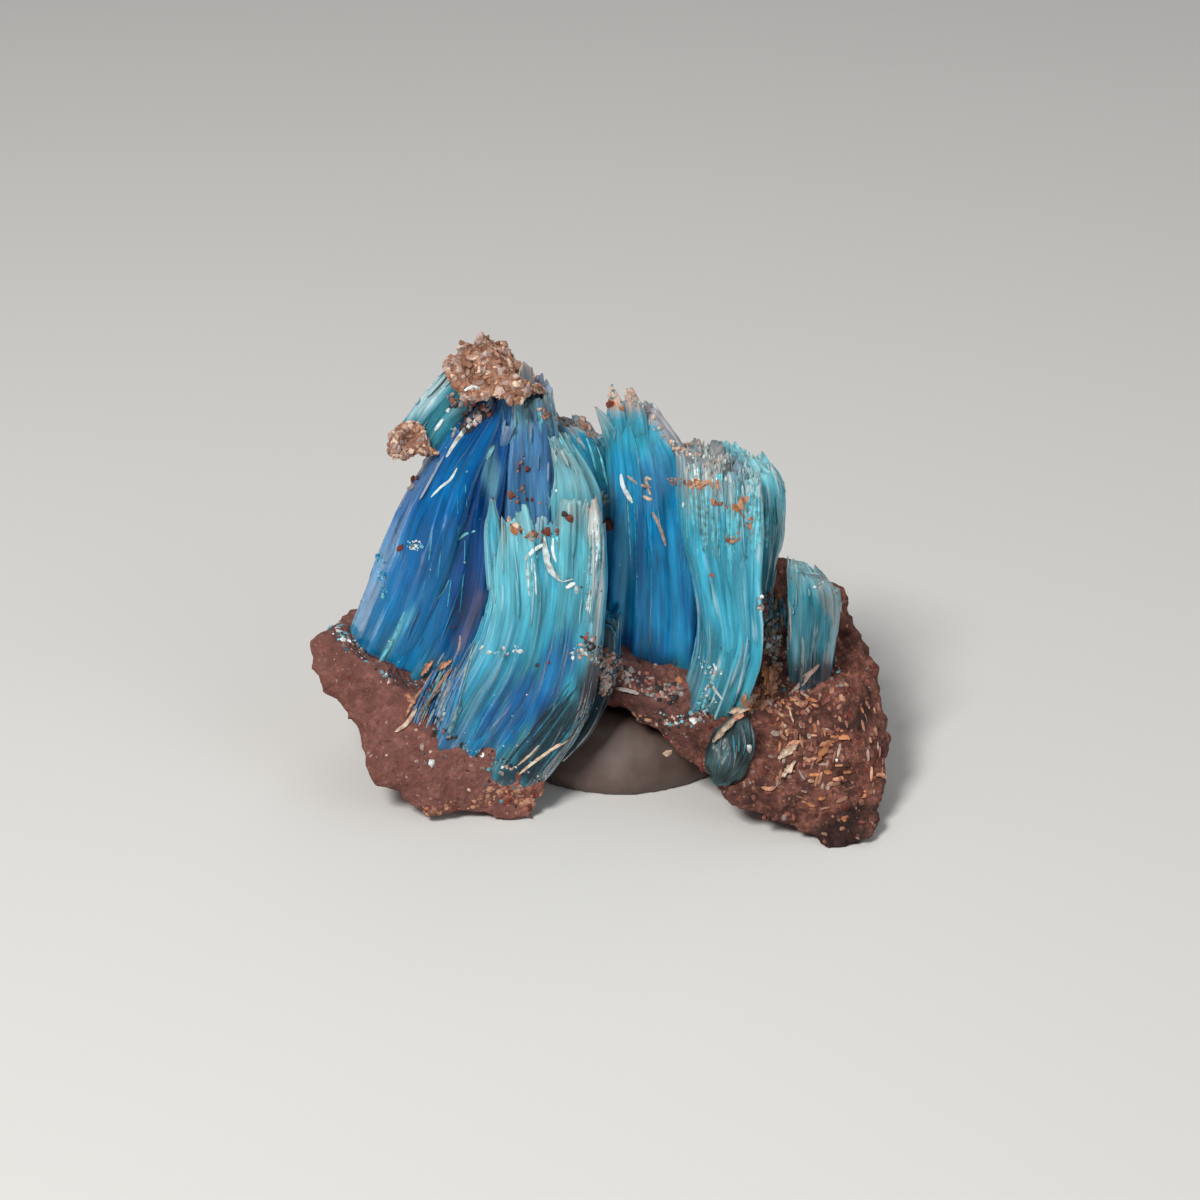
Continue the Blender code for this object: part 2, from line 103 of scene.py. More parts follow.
@dataclass(frozen=True)
class Wear:
    """How a bundle's colour and finish run from its foot to its tip.

    Attributes:
        foot, middle, tip: colours along the fibres.
        frost: how silky and pale-lit the crystal is at foot, middle and tip, from 0, glassy, to 1.
        streaks: share of the fibres that carry a pale streak.
        stain: how much tan crust is left on the tip.
        rim: strength of a white edge, on the side of +X where it is positive and of -X where negative.
        relief: height of the ribs and steps, where 1 is a coarse bundle.
        light: the colour that its lighter patches lean towards.
        grain: how strongly fine streaks mark it.
    """

    foot: Shade
    middle: Shade
    tip: Shade
    frost: tuple[float, float, float] = (0.2, 0.3, 0.5)
    streaks: float = 0.2
    stain: float = 0.1
    rim: float = 0.0
    relief: float = 1.0
    light: Shade = Shade.PALE
    grain: float = 1.0


def hash01(*keys: np.ndarray | int) -> np.ndarray:
    """Even random numbers from 0 to 1, fixed by whole-number keys.

    Args:
        keys: arrays or numbers that broadcast together.

    Returns:
        An array of their shape: the keys' bits are multiplied and folded in turn.
    """
    with np.errstate(over="ignore"):
        shape = np.broadcast_shapes(*(np.shape(k) for k in keys))
        mixed = np.full(shape, 0x9E3779B97F4A7C15, dtype=np.uint64)
        for key in keys:
            mixed = (mixed ^ np.asarray(key).astype(np.int64).astype(np.uint64)) * np.uint64(0xBF58476D1CE4E5B9)
            mixed = mixed ^ (mixed >> np.uint64(31))
        mixed = mixed * np.uint64(0x94D049BB133111EB)
        mixed = mixed ^ (mixed >> np.uint64(29))
    return (mixed >> np.uint64(11)).astype(np.float64) / 2.0**53


def lumps(points: np.ndarray, cell: float, seed: int) -> np.ndarray:
    """Smooth noise from -1 to 1: random values on a cubic lattice, eased between its corners.

    Args:
        points: places in millimetres, with the three coordinates last.
        cell: the lattice's spacing.
        seed: picks the lattice's values.

    Returns:
        One value for each point.
    """
    scaled = points / cell
    corner = np.floor(scaled).astype(np.int64)
    part = scaled - corner
    part = part * part * (3.0 - 2.0 * part)
    total = np.zeros(points.shape[:-1])
    for step in np.ndindex(2, 2, 2):
        weight = np.prod(np.where(step, part, 1.0 - part), axis=-1)
        at = corner + np.array(step)
        total += weight * hash01(at[..., 0], at[..., 1], at[..., 2], seed)
    return total * 2.0 - 1.0


def blend(low: np.ndarray, high: np.ndarray, share: np.ndarray) -> np.ndarray:
    """Colours between low and high, one for each share from 0 to 1."""
    return low + (high - low) * np.clip(share, 0.0, 1.0)[..., None]


def ease(low: float, high: float, value: np.ndarray) -> np.ndarray:
    """A smooth step from 0 at low to 1 at high, which may lie below low."""
    t = np.clip((value - low) / (high - low), 0.0, 1.0)
    return t * t * (3.0 - 2.0 * t)


def unit(vectors: np.ndarray) -> np.ndarray:
    """The vectors at length one."""
    return vectors / np.maximum(np.linalg.norm(vectors, axis=-1, keepdims=True), 1e-9)


def curve(points: np.ndarray, at: np.ndarray) -> np.ndarray:
    """Points of a smooth curve (Catmull-Rom): a cubic through each pair that leans on its neighbours.

    Args:
        points: the points that it passes, one to a row.
        at: shares of its length, where 0 is the first point and 1 the last.

    Returns:
        A row for each share.
    """
    last = len(points) - 1
    span = np.clip((at * last).astype(int), 0, last - 1)
    t = (at * last - span)[..., None]
    before, start = points[np.maximum(span - 1, 0)], points[span]
    end, after = points[span + 1], points[np.minimum(span + 2, last)]
    return 0.5 * (
        2 * start
        + (end - before) * t
        + (2 * before - 5 * start + 4 * end - after) * t**2
        + (3 * start - before - 3 * end + after) * t**3
    )


@dataclass
class Skin:
    """A closed surface being put together: points, faces and what the finishes read at each point."""

    points: list[np.ndarray] = field(default_factory=list)
    quads: list[np.ndarray] = field(default_factory=list)
    triangles: list[np.ndarray] = field(default_factory=list)
    tints: list[np.ndarray] = field(default_factory=list)
    grains: list[np.ndarray] = field(default_factory=list)
    count: int = 0

    def add(
        self,
        points: np.ndarray,
        quads: np.ndarray,
        triangles: np.ndarray,
        tint: np.ndarray,
        grain: np.ndarray | None = None,
    ) -> None:
        """Adds one closed form.

        Args:
            points: its points in millimetres.
            quads, triangles: its faces, as rows of indices into points.
            tint: colour and frost at each point, four columns.
            grain: place along and across the fibres at each point, in millimetres.
        """
        self.points.append(points)
        self.quads.append(quads.reshape(-1, 4) + self.count)
        self.triangles.append(triangles.reshape(-1, 3) + self.count)
        self.tints.append(tint)
        self.grains.append(points if grain is None else grain)
        self.count += len(points)

    def piece(self, name: str, smooth: bool = True) -> bpy.types.Object:
        """The whole surface as one mesh object at the origin.

        Args:
            name: the piece's name.
            smooth: whether its faces are shaded smooth.

        Returns:
            The object, with the attributes tint and grain.
        """
        quads = np.concatenate(self.quads)
        triangles = np.concatenate(self.triangles)
        mesh = bpy.data.meshes.new(name)
        mesh.vertices.add(self.count)
        mesh.vertices.foreach_set("co", (np.concatenate(self.points) * MM).astype(np.float32).ravel())
        mesh.loops.add(4 * len(quads) + 3 * len(triangles))
        mesh.loops.foreach_set("vertex_index", np.concatenate([quads.ravel(), triangles.ravel()]).astype(np.int32))
        starts = np.concatenate([np.arange(len(quads)) * 4, 4 * len(quads) + np.arange(len(triangles)) * 3])
        mesh.polygons.add(len(starts))
        mesh.polygons.foreach_set("loop_start", starts.astype(np.int32))
        mesh.update(calc_edges=True)
        mesh.validate()
        mesh.polygons.foreach_set("use_smooth", np.full(len(mesh.polygons), smooth))
        write_attribute(mesh, "tint", "FLOAT_COLOR", "color", np.concatenate(self.tints))
        write_attribute(mesh, "grain", "FLOAT_VECTOR", "vector", np.concatenate(self.grains))
        obj = bpy.data.objects.new(name, mesh)
        bpy.context.scene.collection.objects.link(obj)
        return obj


def write_attribute(mesh: bpy.types.Mesh, name: str, kind: str, key: str, values: np.ndarray) -> None:
    """Stores one row of values for each vertex in a named attribute."""
    layer = mesh.attributes.new(name, kind, "POINT")
    layer.data.foreach_set(key, values.astype(np.float32).ravel())


def tube_faces(rows: int, columns: int) -> np.ndarray:
    """Quads between the rows of a grid whose columns close on themselves, as rows of four indices."""
    row = np.arange(rows - 1)[:, None] * columns
    here = np.arange(columns)[None, :]
    there = (here + 1) % columns
    return np.stack([row + here, row + there, row + there + columns, row + here + columns], axis=-1).reshape(-1, 4)


@dataclass(frozen=True)
class Bundle:
    """A bundle of fibres that shares its course and sections with the solid of the same name.

    Attributes:
        name: what it is.
        path: the middle line of its broad face, from foot to tip.
        widths: its width along the path.
        depths: its depth at foot and tip.
        wear: its colours and finish.
        yaw: degrees that its broad face turns from -Y towards +X.
        slant: how far its tip falls from the side of -X to the side of +X.
        lean: how far its tip rises from the broad face to the back.
        drop: how far it falls from the broad face to the back, where the broad face keeps its height.
        ragged: how unevenly its fibres have broken at the tip.
        step: height of the steps between its flat faces.
        seed: fixes its ridges and its jagged tip.
        fibre: the usual width of one fibre.
        blades: how many thin blades lie on it.
        splinters: how many stand out at its tip.
        stubs: how many broken fibres stand on its end.
    """

    name: str
    path: tuple[tuple[float, float, float], ...]
    widths: tuple[float, ...]
    depths: tuple[float, float]
    wear: Wear
    yaw: float = 0.0
    slant: float = 0.0
    seed: int = SEED
    lean: float = 0.8
    drop: float = 0.0
    ragged: float = 1.0
    step: float = 0.10
    fibre: float = 0.42
    blades: int = 26
    splinters: int = 26
    stubs: int = 110

    def ridges(self) -> tuple[np.ndarray, np.ndarray]:
        """The solid's own corners.

        Returns:
            How far each corner reaches, as a share of the half width, and how far it passes the tip.
        """
        dice = random.Random(self.seed)
        reach = [
            1.0 - (RIDGE_DEPTH if i % 2 else 0.0) * dice.uniform(0.5, 1.4) for i in range(SECTION_CORNERS)
        ]
        jags = [dice.uniform(-TIP_JAG, TIP_JAG) for _ in range(SECTION_CORNERS)]
        return np.array(reach), np.array(jags)

    def length(self) -> float:
        """Length of the path in millimetres."""
        return float(np.linalg.norm(np.diff(np.array(self.path), axis=0), axis=1).sum())

    def axes(self, at: np.ndarray) -> tuple[np.ndarray, np.ndarray, np.ndarray, np.ndarray, np.ndarray]:
        """The section's middle and directions along the path.

        Args:
            at: shares of the path.

        Returns:
            The middle points, the directions along, across and outward, and the half sizes.
        """
        path = np.array(self.path)
        step = 0.02
        held = np.clip(at, 0.0, 1.0)
        along = unit(curve(path, np.minimum(held + step, 1.0)) - curve(path, np.maximum(held - step, 0.0)))
        turn = math.radians(self.yaw)
        facing = np.array([math.sin(turn), -math.cos(turn), 0.0])
        across = unit(np.cross(along, facing))
        outward = unit(np.cross(across, along))
        width = curve(np.array(self.widths)[:, None], held)[..., 0]
        depth = self.depths[0] + (self.depths[1] - self.depths[0]) * held
        middle = curve(path, at) - outward * depth[..., None] / 2
        return middle, along, across, outward, np.stack([width / 2, depth / 2], axis=-1)

    def skin(
        self, at: np.ndarray, angle: np.ndarray, lift: np.ndarray, shrink: np.ndarray | float = 1.0
    ) -> np.ndarray:
        """Points of the bundle's surface: a rounded oblong with ridges, carried along the path.

        Args:
            at: shares of the path, one for each row.
            angle: places round the section, rows by columns.
            lift: millimetres off the surface, rows by columns.
            shrink: share of the section's size.

        Returns:
            Rows by columns of points.
        """
        middle, _, across, outward, half = self.axes(at)
        reach, _ = self.ridges()
        corners = np.arange(SECTION_CORNERS + 1) * 2 * np.pi / SECTION_CORNERS
        size = np.interp(angle % (2 * np.pi), corners, np.append(reach, reach[0]))
        sideways = np.sign(np.cos(angle)) * np.abs(np.cos(angle)) ** SQUARENESS * half[:, None, 0]
        forward = np.sign(np.sin(angle)) * np.abs(np.sin(angle)) ** SQUARENESS * half[:, None, 1]
        radial = across[:, None] * sideways[..., None] + outward[:, None] * forward[..., None]
        far = np.maximum(np.linalg.norm(radial, axis=-1), 1e-6)
        scale = np.maximum(size * shrink + lift / far, 0.05)
        return middle[:, None] + radial * scale[..., None]

    def around(self, shares: np.ndarray) -> np.ndarray:
        """Angles at which the middle section's outline has the given shares of its length."""
        angle = np.linspace(0.0, 2 * np.pi, 361)
        ring = self.skin(np.array([0.5]), angle[None], np.zeros((1, 361)))[0]
        travelled = np.concatenate([[0.0], np.cumsum(np.linalg.norm(np.diff(ring, axis=0), axis=1))])
        return np.interp(shares % 1.0, travelled / travelled[-1], angle) + 2 * np.pi * np.floor(shares)

    def girth(self) -> float:
        """Length of the middle section's outline."""
        angle = np.linspace(0.0, 2 * np.pi, 181)
        ring = self.skin(np.array([0.5]), angle[None], np.zeros((1, 181)))[0]
        return float(np.linalg.norm(np.diff(ring, axis=0), axis=1).sum())

    def tip_shift(self, angle: np.ndarray, inset: np.ndarray | float = 1.0) -> np.ndarray:
        """How far the tip passes its end: it falls with slant towards +X, lean to the front, drop to the back."""
        tilt = self.slant * np.cos(angle) + self.lean * np.sin(angle)
        return -tilt * inset / 2 - self.drop * (1.0 - np.sin(angle) * inset) / 2

    def tint(self, at: np.ndarray, angle: np.ndarray, place: np.ndarray) -> np.ndarray:
        """Colour and frost of the crystal.

        The base runs from foot to tip. Broad and fine noise, long along the fibres and short across them,
        lightens and darkens it, and the finest noise leaves thin pale streaks.

        Args:
            at: shares of the path, rows by columns.
            angle: places round the section, rows by columns.
            place: millimetres round the section, rows by columns.

        Returns:
            Four values for each point: red, green, blue and frost.
        """
        wear = self.wear
        lower = blend(wear.foot.rgb, wear.middle.rgb, at / 0.5)
        colour = blend(lower, wear.tip.rgb, (at - 0.5) / 0.5)
        frost = np.interp(at, [0.0, 0.5, 1.0], wear.frost)
        turn = 2 * np.pi * place / self.girth()
        reach = self.girth() / (2 * np.pi)
        flow = np.stack([np.cos(turn) * reach, np.sin(turn) * reach, at * self.length() * 0.20], axis=-1)
        broad = lumps(flow, 1.1, self.seed + 5)
        fine = lumps(flow * np.array([1.0, 1.0, 0.45]), 0.30, self.seed + 6)
        hair = lumps(flow * np.array([1.0, 1.0, 0.35]), 0.17, self.seed + 7)
        marks = fine * wear.grain
        colour = blend(colour, wear.light.rgb, 0.45 * np.clip(broad, 0.0, 1.0) + 0.22 * np.clip(marks, 0.0, 1.0))
        colour = colour * (1.0 + 0.45 * np.clip(broad, -1.0, 0.1) + 0.30 * np.clip(marks, -1.0, 0.2))[..., None]
        frost = frost + 0.22 * broad + 0.12 * fine
        streak = ease(0.62 - 0.5 * wear.streaks, 0.95 - 0.5 * wear.streaks, hair + 0.25 * broad)
        colour = blend(colour, Shade.WHITE.rgb, 0.45 * streak * min(1.0, 2.5 * wear.streaks) * wear.grain)
        frost = frost + 0.5 * streak * wear.streaks
        facing = np.cos(angle) * np.sign(wear.rim)
        edge = ease(0.35, 0.75, facing) * ease(1.0, 0.86, facing) * abs(wear.rim)
        edge = edge * ease(0.10, 0.45, at) * (0.75 + 0.5 * fine)
        colour = blend(colour, 0.5 * (Shade.WHITE.rgb + Shade.PALE.rgb), edge)
        frost = frost + 0.6 * edge
        crusty = wear.stain * ease(0.84, 0.99, at + 0.07 * fine + 0.05 * broad)
        tone = blend(Shade.PINK_TAN.rgb, Shade.TAN.rgb, 0.5 + 0.8 * fine)
        colour = blend(colour, tone, crusty)
        frost = frost + 0.6 * crusty
        return np.concatenate([colour, np.clip(frost, 0.0, 1.0)[..., None]], axis=-1)

    def add_core(self, out: Skin) -> None:
        """Adds the bundle's body: one rib for each fibre, at its own level, broken off at its own height.

        The height above the section is noise that is long along the fibres, mostly rounded to whole steps, so
        that flat faces meet at sharp edges, plus a faint rib across each fibre, less the depth of a chip where
        a stretch of it has broken away.

        Args:
            out: the surface that takes it.
        """
        steps = 5
        fibres = max(12, round(self.girth() / self.fibre))
        spread = 0.45 + 1.5 * hash01(np.arange(fibres), self.seed) ** 2
        starts = np.concatenate([[0.0], np.cumsum(spread)[:-1]]) / spread.sum()
        number = np.repeat(np.arange(fibres), steps)
        inside = np.tile(np.arange(steps) / steps, fibres)
        shares = starts[number] + inside * spread[number] / spread.sum()
        columns = len(shares)
        rows = max(8, round(self.length() / 0.42))
        at = np.linspace(0.0, 1.0, rows)
        sway = 0.05 * np.sin(2 * np.pi * (1.1 * at + hash01(self.seed, 1)))
        angle = self.around(shares)[None] + sway[:, None]
        grid_at = np.repeat(at[:, None], columns, axis=1)
        place = np.repeat(shares[None] * self.girth(), rows, axis=0)
        rib = np.sin(np.pi * inside) ** 0.6
        turn = np.stack([np.cos(angle), np.sin(angle), grid_at * self.length() / 14.0], axis=-1)
        level = 0.17 * lumps(turn, 0.55, self.seed) + 0.06 * lumps(turn, 0.2, self.seed + 1)
        level += 0.07 * (hash01(number, self.seed, 2) - 0.5)[None]
        level = 0.3 * level + 0.7 * self.step * np.floor(level / self.step + 0.5)
        count = 2 + np.floor(6 * hash01(number // 2, self.seed, 5))
        stretch = np.floor(grid_at * count + hash01(number // 2, self.seed, 6))
        chip = hash01(number // 2, stretch, self.seed, 7) < 0.10
        lift = self.wear.relief * (0.022 * (rib - 0.5) + level - 0.10 * chip)
        small = self.axes(at)[4].min(axis=-1)[:, None]
        lift = np.clip(lift, -0.3 * small, 0.3 * small)
        points = self.skin(at, angle, lift)

        _, along, _, _, _ = self.axes(at)
        _, jags = self.ridges()
        corners = np.arange(SECTION_CORNERS + 1) * 2 * np.pi / SECTION_CORNERS
        jag = np.interp(angle[-1] % (2 * np.pi), corners, np.append(jags, jags[0])) * min(1.0, 2 * self.ragged)
        torn = 1.1 * (hash01(number // 4, self.seed, 8) - 0.5) + 0.6 * (hash01(number, self.seed, 9) - 0.5)
        torn = jag + self.ragged * torn
        passes = torn + self.tip_shift(angle[-1])
        frayed = 0.5 * (hash01(number // 2, self.seed, 10) - 0.5)
        held = ease(0.76 - 0.07 * self.drop, 1.0, at)[:, None]
        grown = held * passes[None] + ease(0.14, 0.0, at)[:, None] * frayed[None]
        points = points + along[:, None] * grown[..., None]

        tint = self.tint(grid_at, angle, place)
        # Painted shade: the first column of each fibre, in the groove between fibres, is darkened by 14 per cent.
        groove_shade = 1.0 - 0.14 * (inside == 0)[None, :, None]
        tint[..., :3] *= groove_shade
        grain = np.stack(
            [
                place,
                grid_at * self.length(),
                np.full((rows, columns), float(self.seed)),
            ],
            axis=-1,
        )
        blocks, tints, grains = [points.reshape(-1, 3)], [tint.reshape(-1, 4)], [grain.reshape(-1, 3)]
        for share in CAP_RINGS:
            ring = self.skin(np.array([1.0]), angle[-1:], lift[-1:], shrink=share)[0]
            height = torn * share**3 + self.tip_shift(angle[-1], share)
            broken = lumps(ring, 0.6, self.seed + 20) + 0.7 * lumps(ring, 0.27, self.seed + 21)
            height += self.ragged * (0.38 * broken - 0.15)
            blocks.append(ring + along[-1] * height[:, None])
            tints.append(tint[-1])
            grains.append(grain[-1])
        tip = blocks[-1].mean(axis=0)[None]
        foot = points[0].mean(axis=0)[None]
        blocks += [tip, foot]
        tints += [tint[-1, :1], tint[0, :1]]
        grains += [grain[-1, :1], grain[0, :1]]
        total_rows = rows + len(CAP_RINGS)
        here = np.arange(columns)
        there = (here + 1) % columns
        top = (total_rows - 1) * columns
        last = total_rows * columns
        fans = np.concatenate(
            [
                np.stack([top + here, top + there, np.full(columns, last)], axis=-1),
                np.stack([there, here, np.full(columns, last + 1)], axis=-1),
            ]
        )
        out.add(
            np.concatenate(blocks),
            tube_faces(total_rows, columns),
            fans,
            np.concatenate(tints),
            np.concatenate(grains),
        )

    def add_strips(self, out: Skin, strips: "Strips") -> None:
        """Adds thin blades that lie on the bundle and lift off it at their ends.

        Args:
            out: the surface that takes them.
            strips: where they lie and how big they are.
        """
        rows = strips.rows
        n = len(strips.start)
        u = np.linspace(0.0, 1.0, rows)[None]
        at = strips.start[:, None] + (strips.end - strips.start)[:, None] * u
        angle = self.around(strips.share)[:, None] + strips.drift[:, None] * (u - 0.5)
        peel = strips.peel[:, None] * (ease(0.55, 1.0, u) + 0.5 * ease(0.65, 1.0, 1.0 - u))
        lift = strips.lift[:, None] + peel
        inset = np.repeat(strips.inset, rows)[:, None]
        flat_at, flat_angle, flat_lift = at.ravel(), angle.reshape(-1, 1), lift.reshape(-1, 1)
        centre = self.skin(flat_at, flat_angle, flat_lift, inset).reshape(n, rows, 3)
        above = self.skin(flat_at, flat_angle, flat_lift + 0.2, inset).reshape(n, rows, 3)
        along = self.axes(flat_at)[1].reshape(n, rows, 3)
        shift = ease(0.76 - 0.07 * self.drop, 1.0, at) * self.tip_shift(angle, strips.inset[:, None])
        centre, above = centre + along * shift[..., None], above + along * shift[..., None]
        tangent = unit(np.gradient(centre, axis=1))
        normal = unit(above - centre)
        side = unit(np.cross(tangent, normal))
        taper = np.clip(1.0 - np.abs(2 * u - 1) ** strips.blunt[:, None], 0.0, 1.0) ** 0.6 + 0.06
        half = (strips.width[:, None] / 2 * taper)[..., None]
        thick = (strips.thick[:, None] / 2 * (0.4 + 0.6 * taper))[..., None]
        ring = np.stack(
            [centre - side * half, centre + normal * thick, centre + side * half, centre - normal * thick], axis=2
        )
        points = ring.reshape(-1, 3)
        one = tube_faces(rows, 4)[:, ::-1]
        ends = np.array([[0, 1, 2, 3], [4 * rows - 1, 4 * rows - 2, 4 * rows - 3, 4 * rows - 4]])
        local = np.concatenate([one, ends])
        quads = (local[None] + (np.arange(n) * rows * 4)[:, None, None]).reshape(-1, 4)
        place = np.repeat((strips.share * self.girth())[:, None], rows, axis=1)
        tint = self.tint(np.clip(at, 0.0, 1.0), np.broadcast_to(angle, at.shape), place)
        tint[..., :3] = blend(tint[..., :3], Shade.WHITE.rgb, np.repeat(strips.pale[:, None], rows, axis=1))
        tint[..., 3] = np.clip(tint[..., 3] + 0.6 * strips.pale[:, None], 0.0, 1.0)
        tint = np.repeat(tint[:, :, None], 4, axis=2).reshape(-1, 4)
        grain = np.stack(
            [
                np.broadcast_to(np.array([-1.0, 0.0, 1.0, 0.0]) * 0.2, (n, rows, 4)) + strips.share[:, None, None] * 9,
                np.repeat((at * self.length())[:, :, None], 4, axis=2),
                np.full((n, rows, 4), float(self.seed)),
            ],
            axis=-1,
        )
        out.add(points, quads, np.empty((0, 3), int), tint, grain.reshape(-1, 3))

    def add_blades(self, out: Skin) -> None:
        """Adds the blades along the bundle and the splinters at its tip."""
        if self.blades:
            self.add_strips(out, Strips.along(self.blades, self.seed))
        if self.splinters:
            self.add_strips(out, Strips.at_tip(self.splinters, self.seed, self.length()))
        if self.stubs:
            self.add_strips(out, Strips.on_end(self.stubs, self.seed, self.length()))


@dataclass(frozen=True)
class Strips:
    """Where a set of thin blades lies on a bundle, with one value for each blade.

    Attributes:
        share: place round the bundle, as a share of its girth.
        start, end: shares of the path.
        drift: how far it strays round the bundle, in radians.
        lift, peel: millimetres off the surface in its middle, and more at its free end.
        width, thick: its section.
        pale: how much paler than the bundle it is.
        blunt: how suddenly it narrows at its ends.
        inset: share of the section's size at which it stands, where 1 is on the surface.
        rows: how many sections each blade has.
    """

    share: np.ndarray
    start: np.ndarray
    end: np.ndarray
    drift: np.ndarray
    lift: np.ndarray
    peel: np.ndarray
    width: np.ndarray
    thick: np.ndarray
    pale: np.ndarray
    blunt: np.ndarray
    inset: np.ndarray
    rows: int = 9

    @classmethod
    def along(cls, count: int, seed: int) -> "Strips":
        """Blades scattered over the whole bundle."""
        key = np.arange(count)
        start = 0.03 + 0.80 * hash01(key, seed, 31)
        span = 0.08 + 0.34 * hash01(key, seed, 32) ** 2
        return cls(
            share=hash01(key, seed, 30),
            start=start,
            end=np.minimum(start + span, 1.01),
            drift=0.10 * (hash01(key, seed, 33) - 0.5),
            lift=-0.04 + 0.06 * hash01(key, seed, 34),
            peel=0.18 * hash01(key, seed, 35) ** 3,
            width=0.07 + 0.18 * hash01(key, seed, 36) ** 2,
            thick=0.06 + 0.05 * hash01(key, seed, 37),
            pale=0.02 + 0.55 * hash01(key, seed, 38) ** 3,
            blunt=1.6 + 4.0 * hash01(key, seed, 39),
            inset=np.ones(count),
        )

    @classmethod
    def at_tip(cls, count: int, seed: int, length: float) -> "Strips":
        """Splinters that stand out past the tip, on a bundle of a given length."""
        key = np.arange(count)
        return cls(
            share=hash01(key, seed, 50),
            start=1.0 - (1.6 + 1.6 * hash01(key, seed, 51)) / length,
            end=1.0 + 0.6 * (hash01(key, seed, 52) - 0.25) / length,
            drift=0.12 * (hash01(key, seed, 53) - 0.5),
            lift=-0.16 + 0.16 * hash01(key, seed, 54),
            peel=0.10 * hash01(key, seed, 55),
            width=0.14 + 0.26 * hash01(key, seed, 56),
            thick=0.08 + 0.08 * hash01(key, seed, 57),
            pale=0.05 + 0.4 * hash01(key, seed, 58) ** 2,
            blunt=1.3 + 3.0 * hash01(key, seed, 59),
            inset=np.ones(count),
        )

    @classmethod
    def on_end(cls, count: int, seed: int, length: float) -> "Strips":
        """Broken fibres that stand all over the end of a bundle of a given length."""
        key = np.arange(count)
        return cls(
            share=hash01(key, seed, 70),
            start=1.0 - (1.1 + 0.6 * hash01(key, seed, 71)) / length,
            end=1.0 + 0.9 * (hash01(key, seed, 72) - 0.55) / length,
            drift=0.10 * (hash01(key, seed, 73) - 0.5),
            lift=np.zeros(count),
            peel=0.05 * hash01(key, seed, 75),
            width=0.12 + 0.20 * hash01(key, seed, 76),
            thick=0.10 + 0.14 * hash01(key, seed, 77),
            pale=0.05 + 0.45 * hash01(key, seed, 78) ** 2,
            blunt=1.2 + 2.5 * hash01(key, seed, 79),
            inset=0.96 * np.sqrt(hash01(key, seed, 74)),
            rows=5,
        )


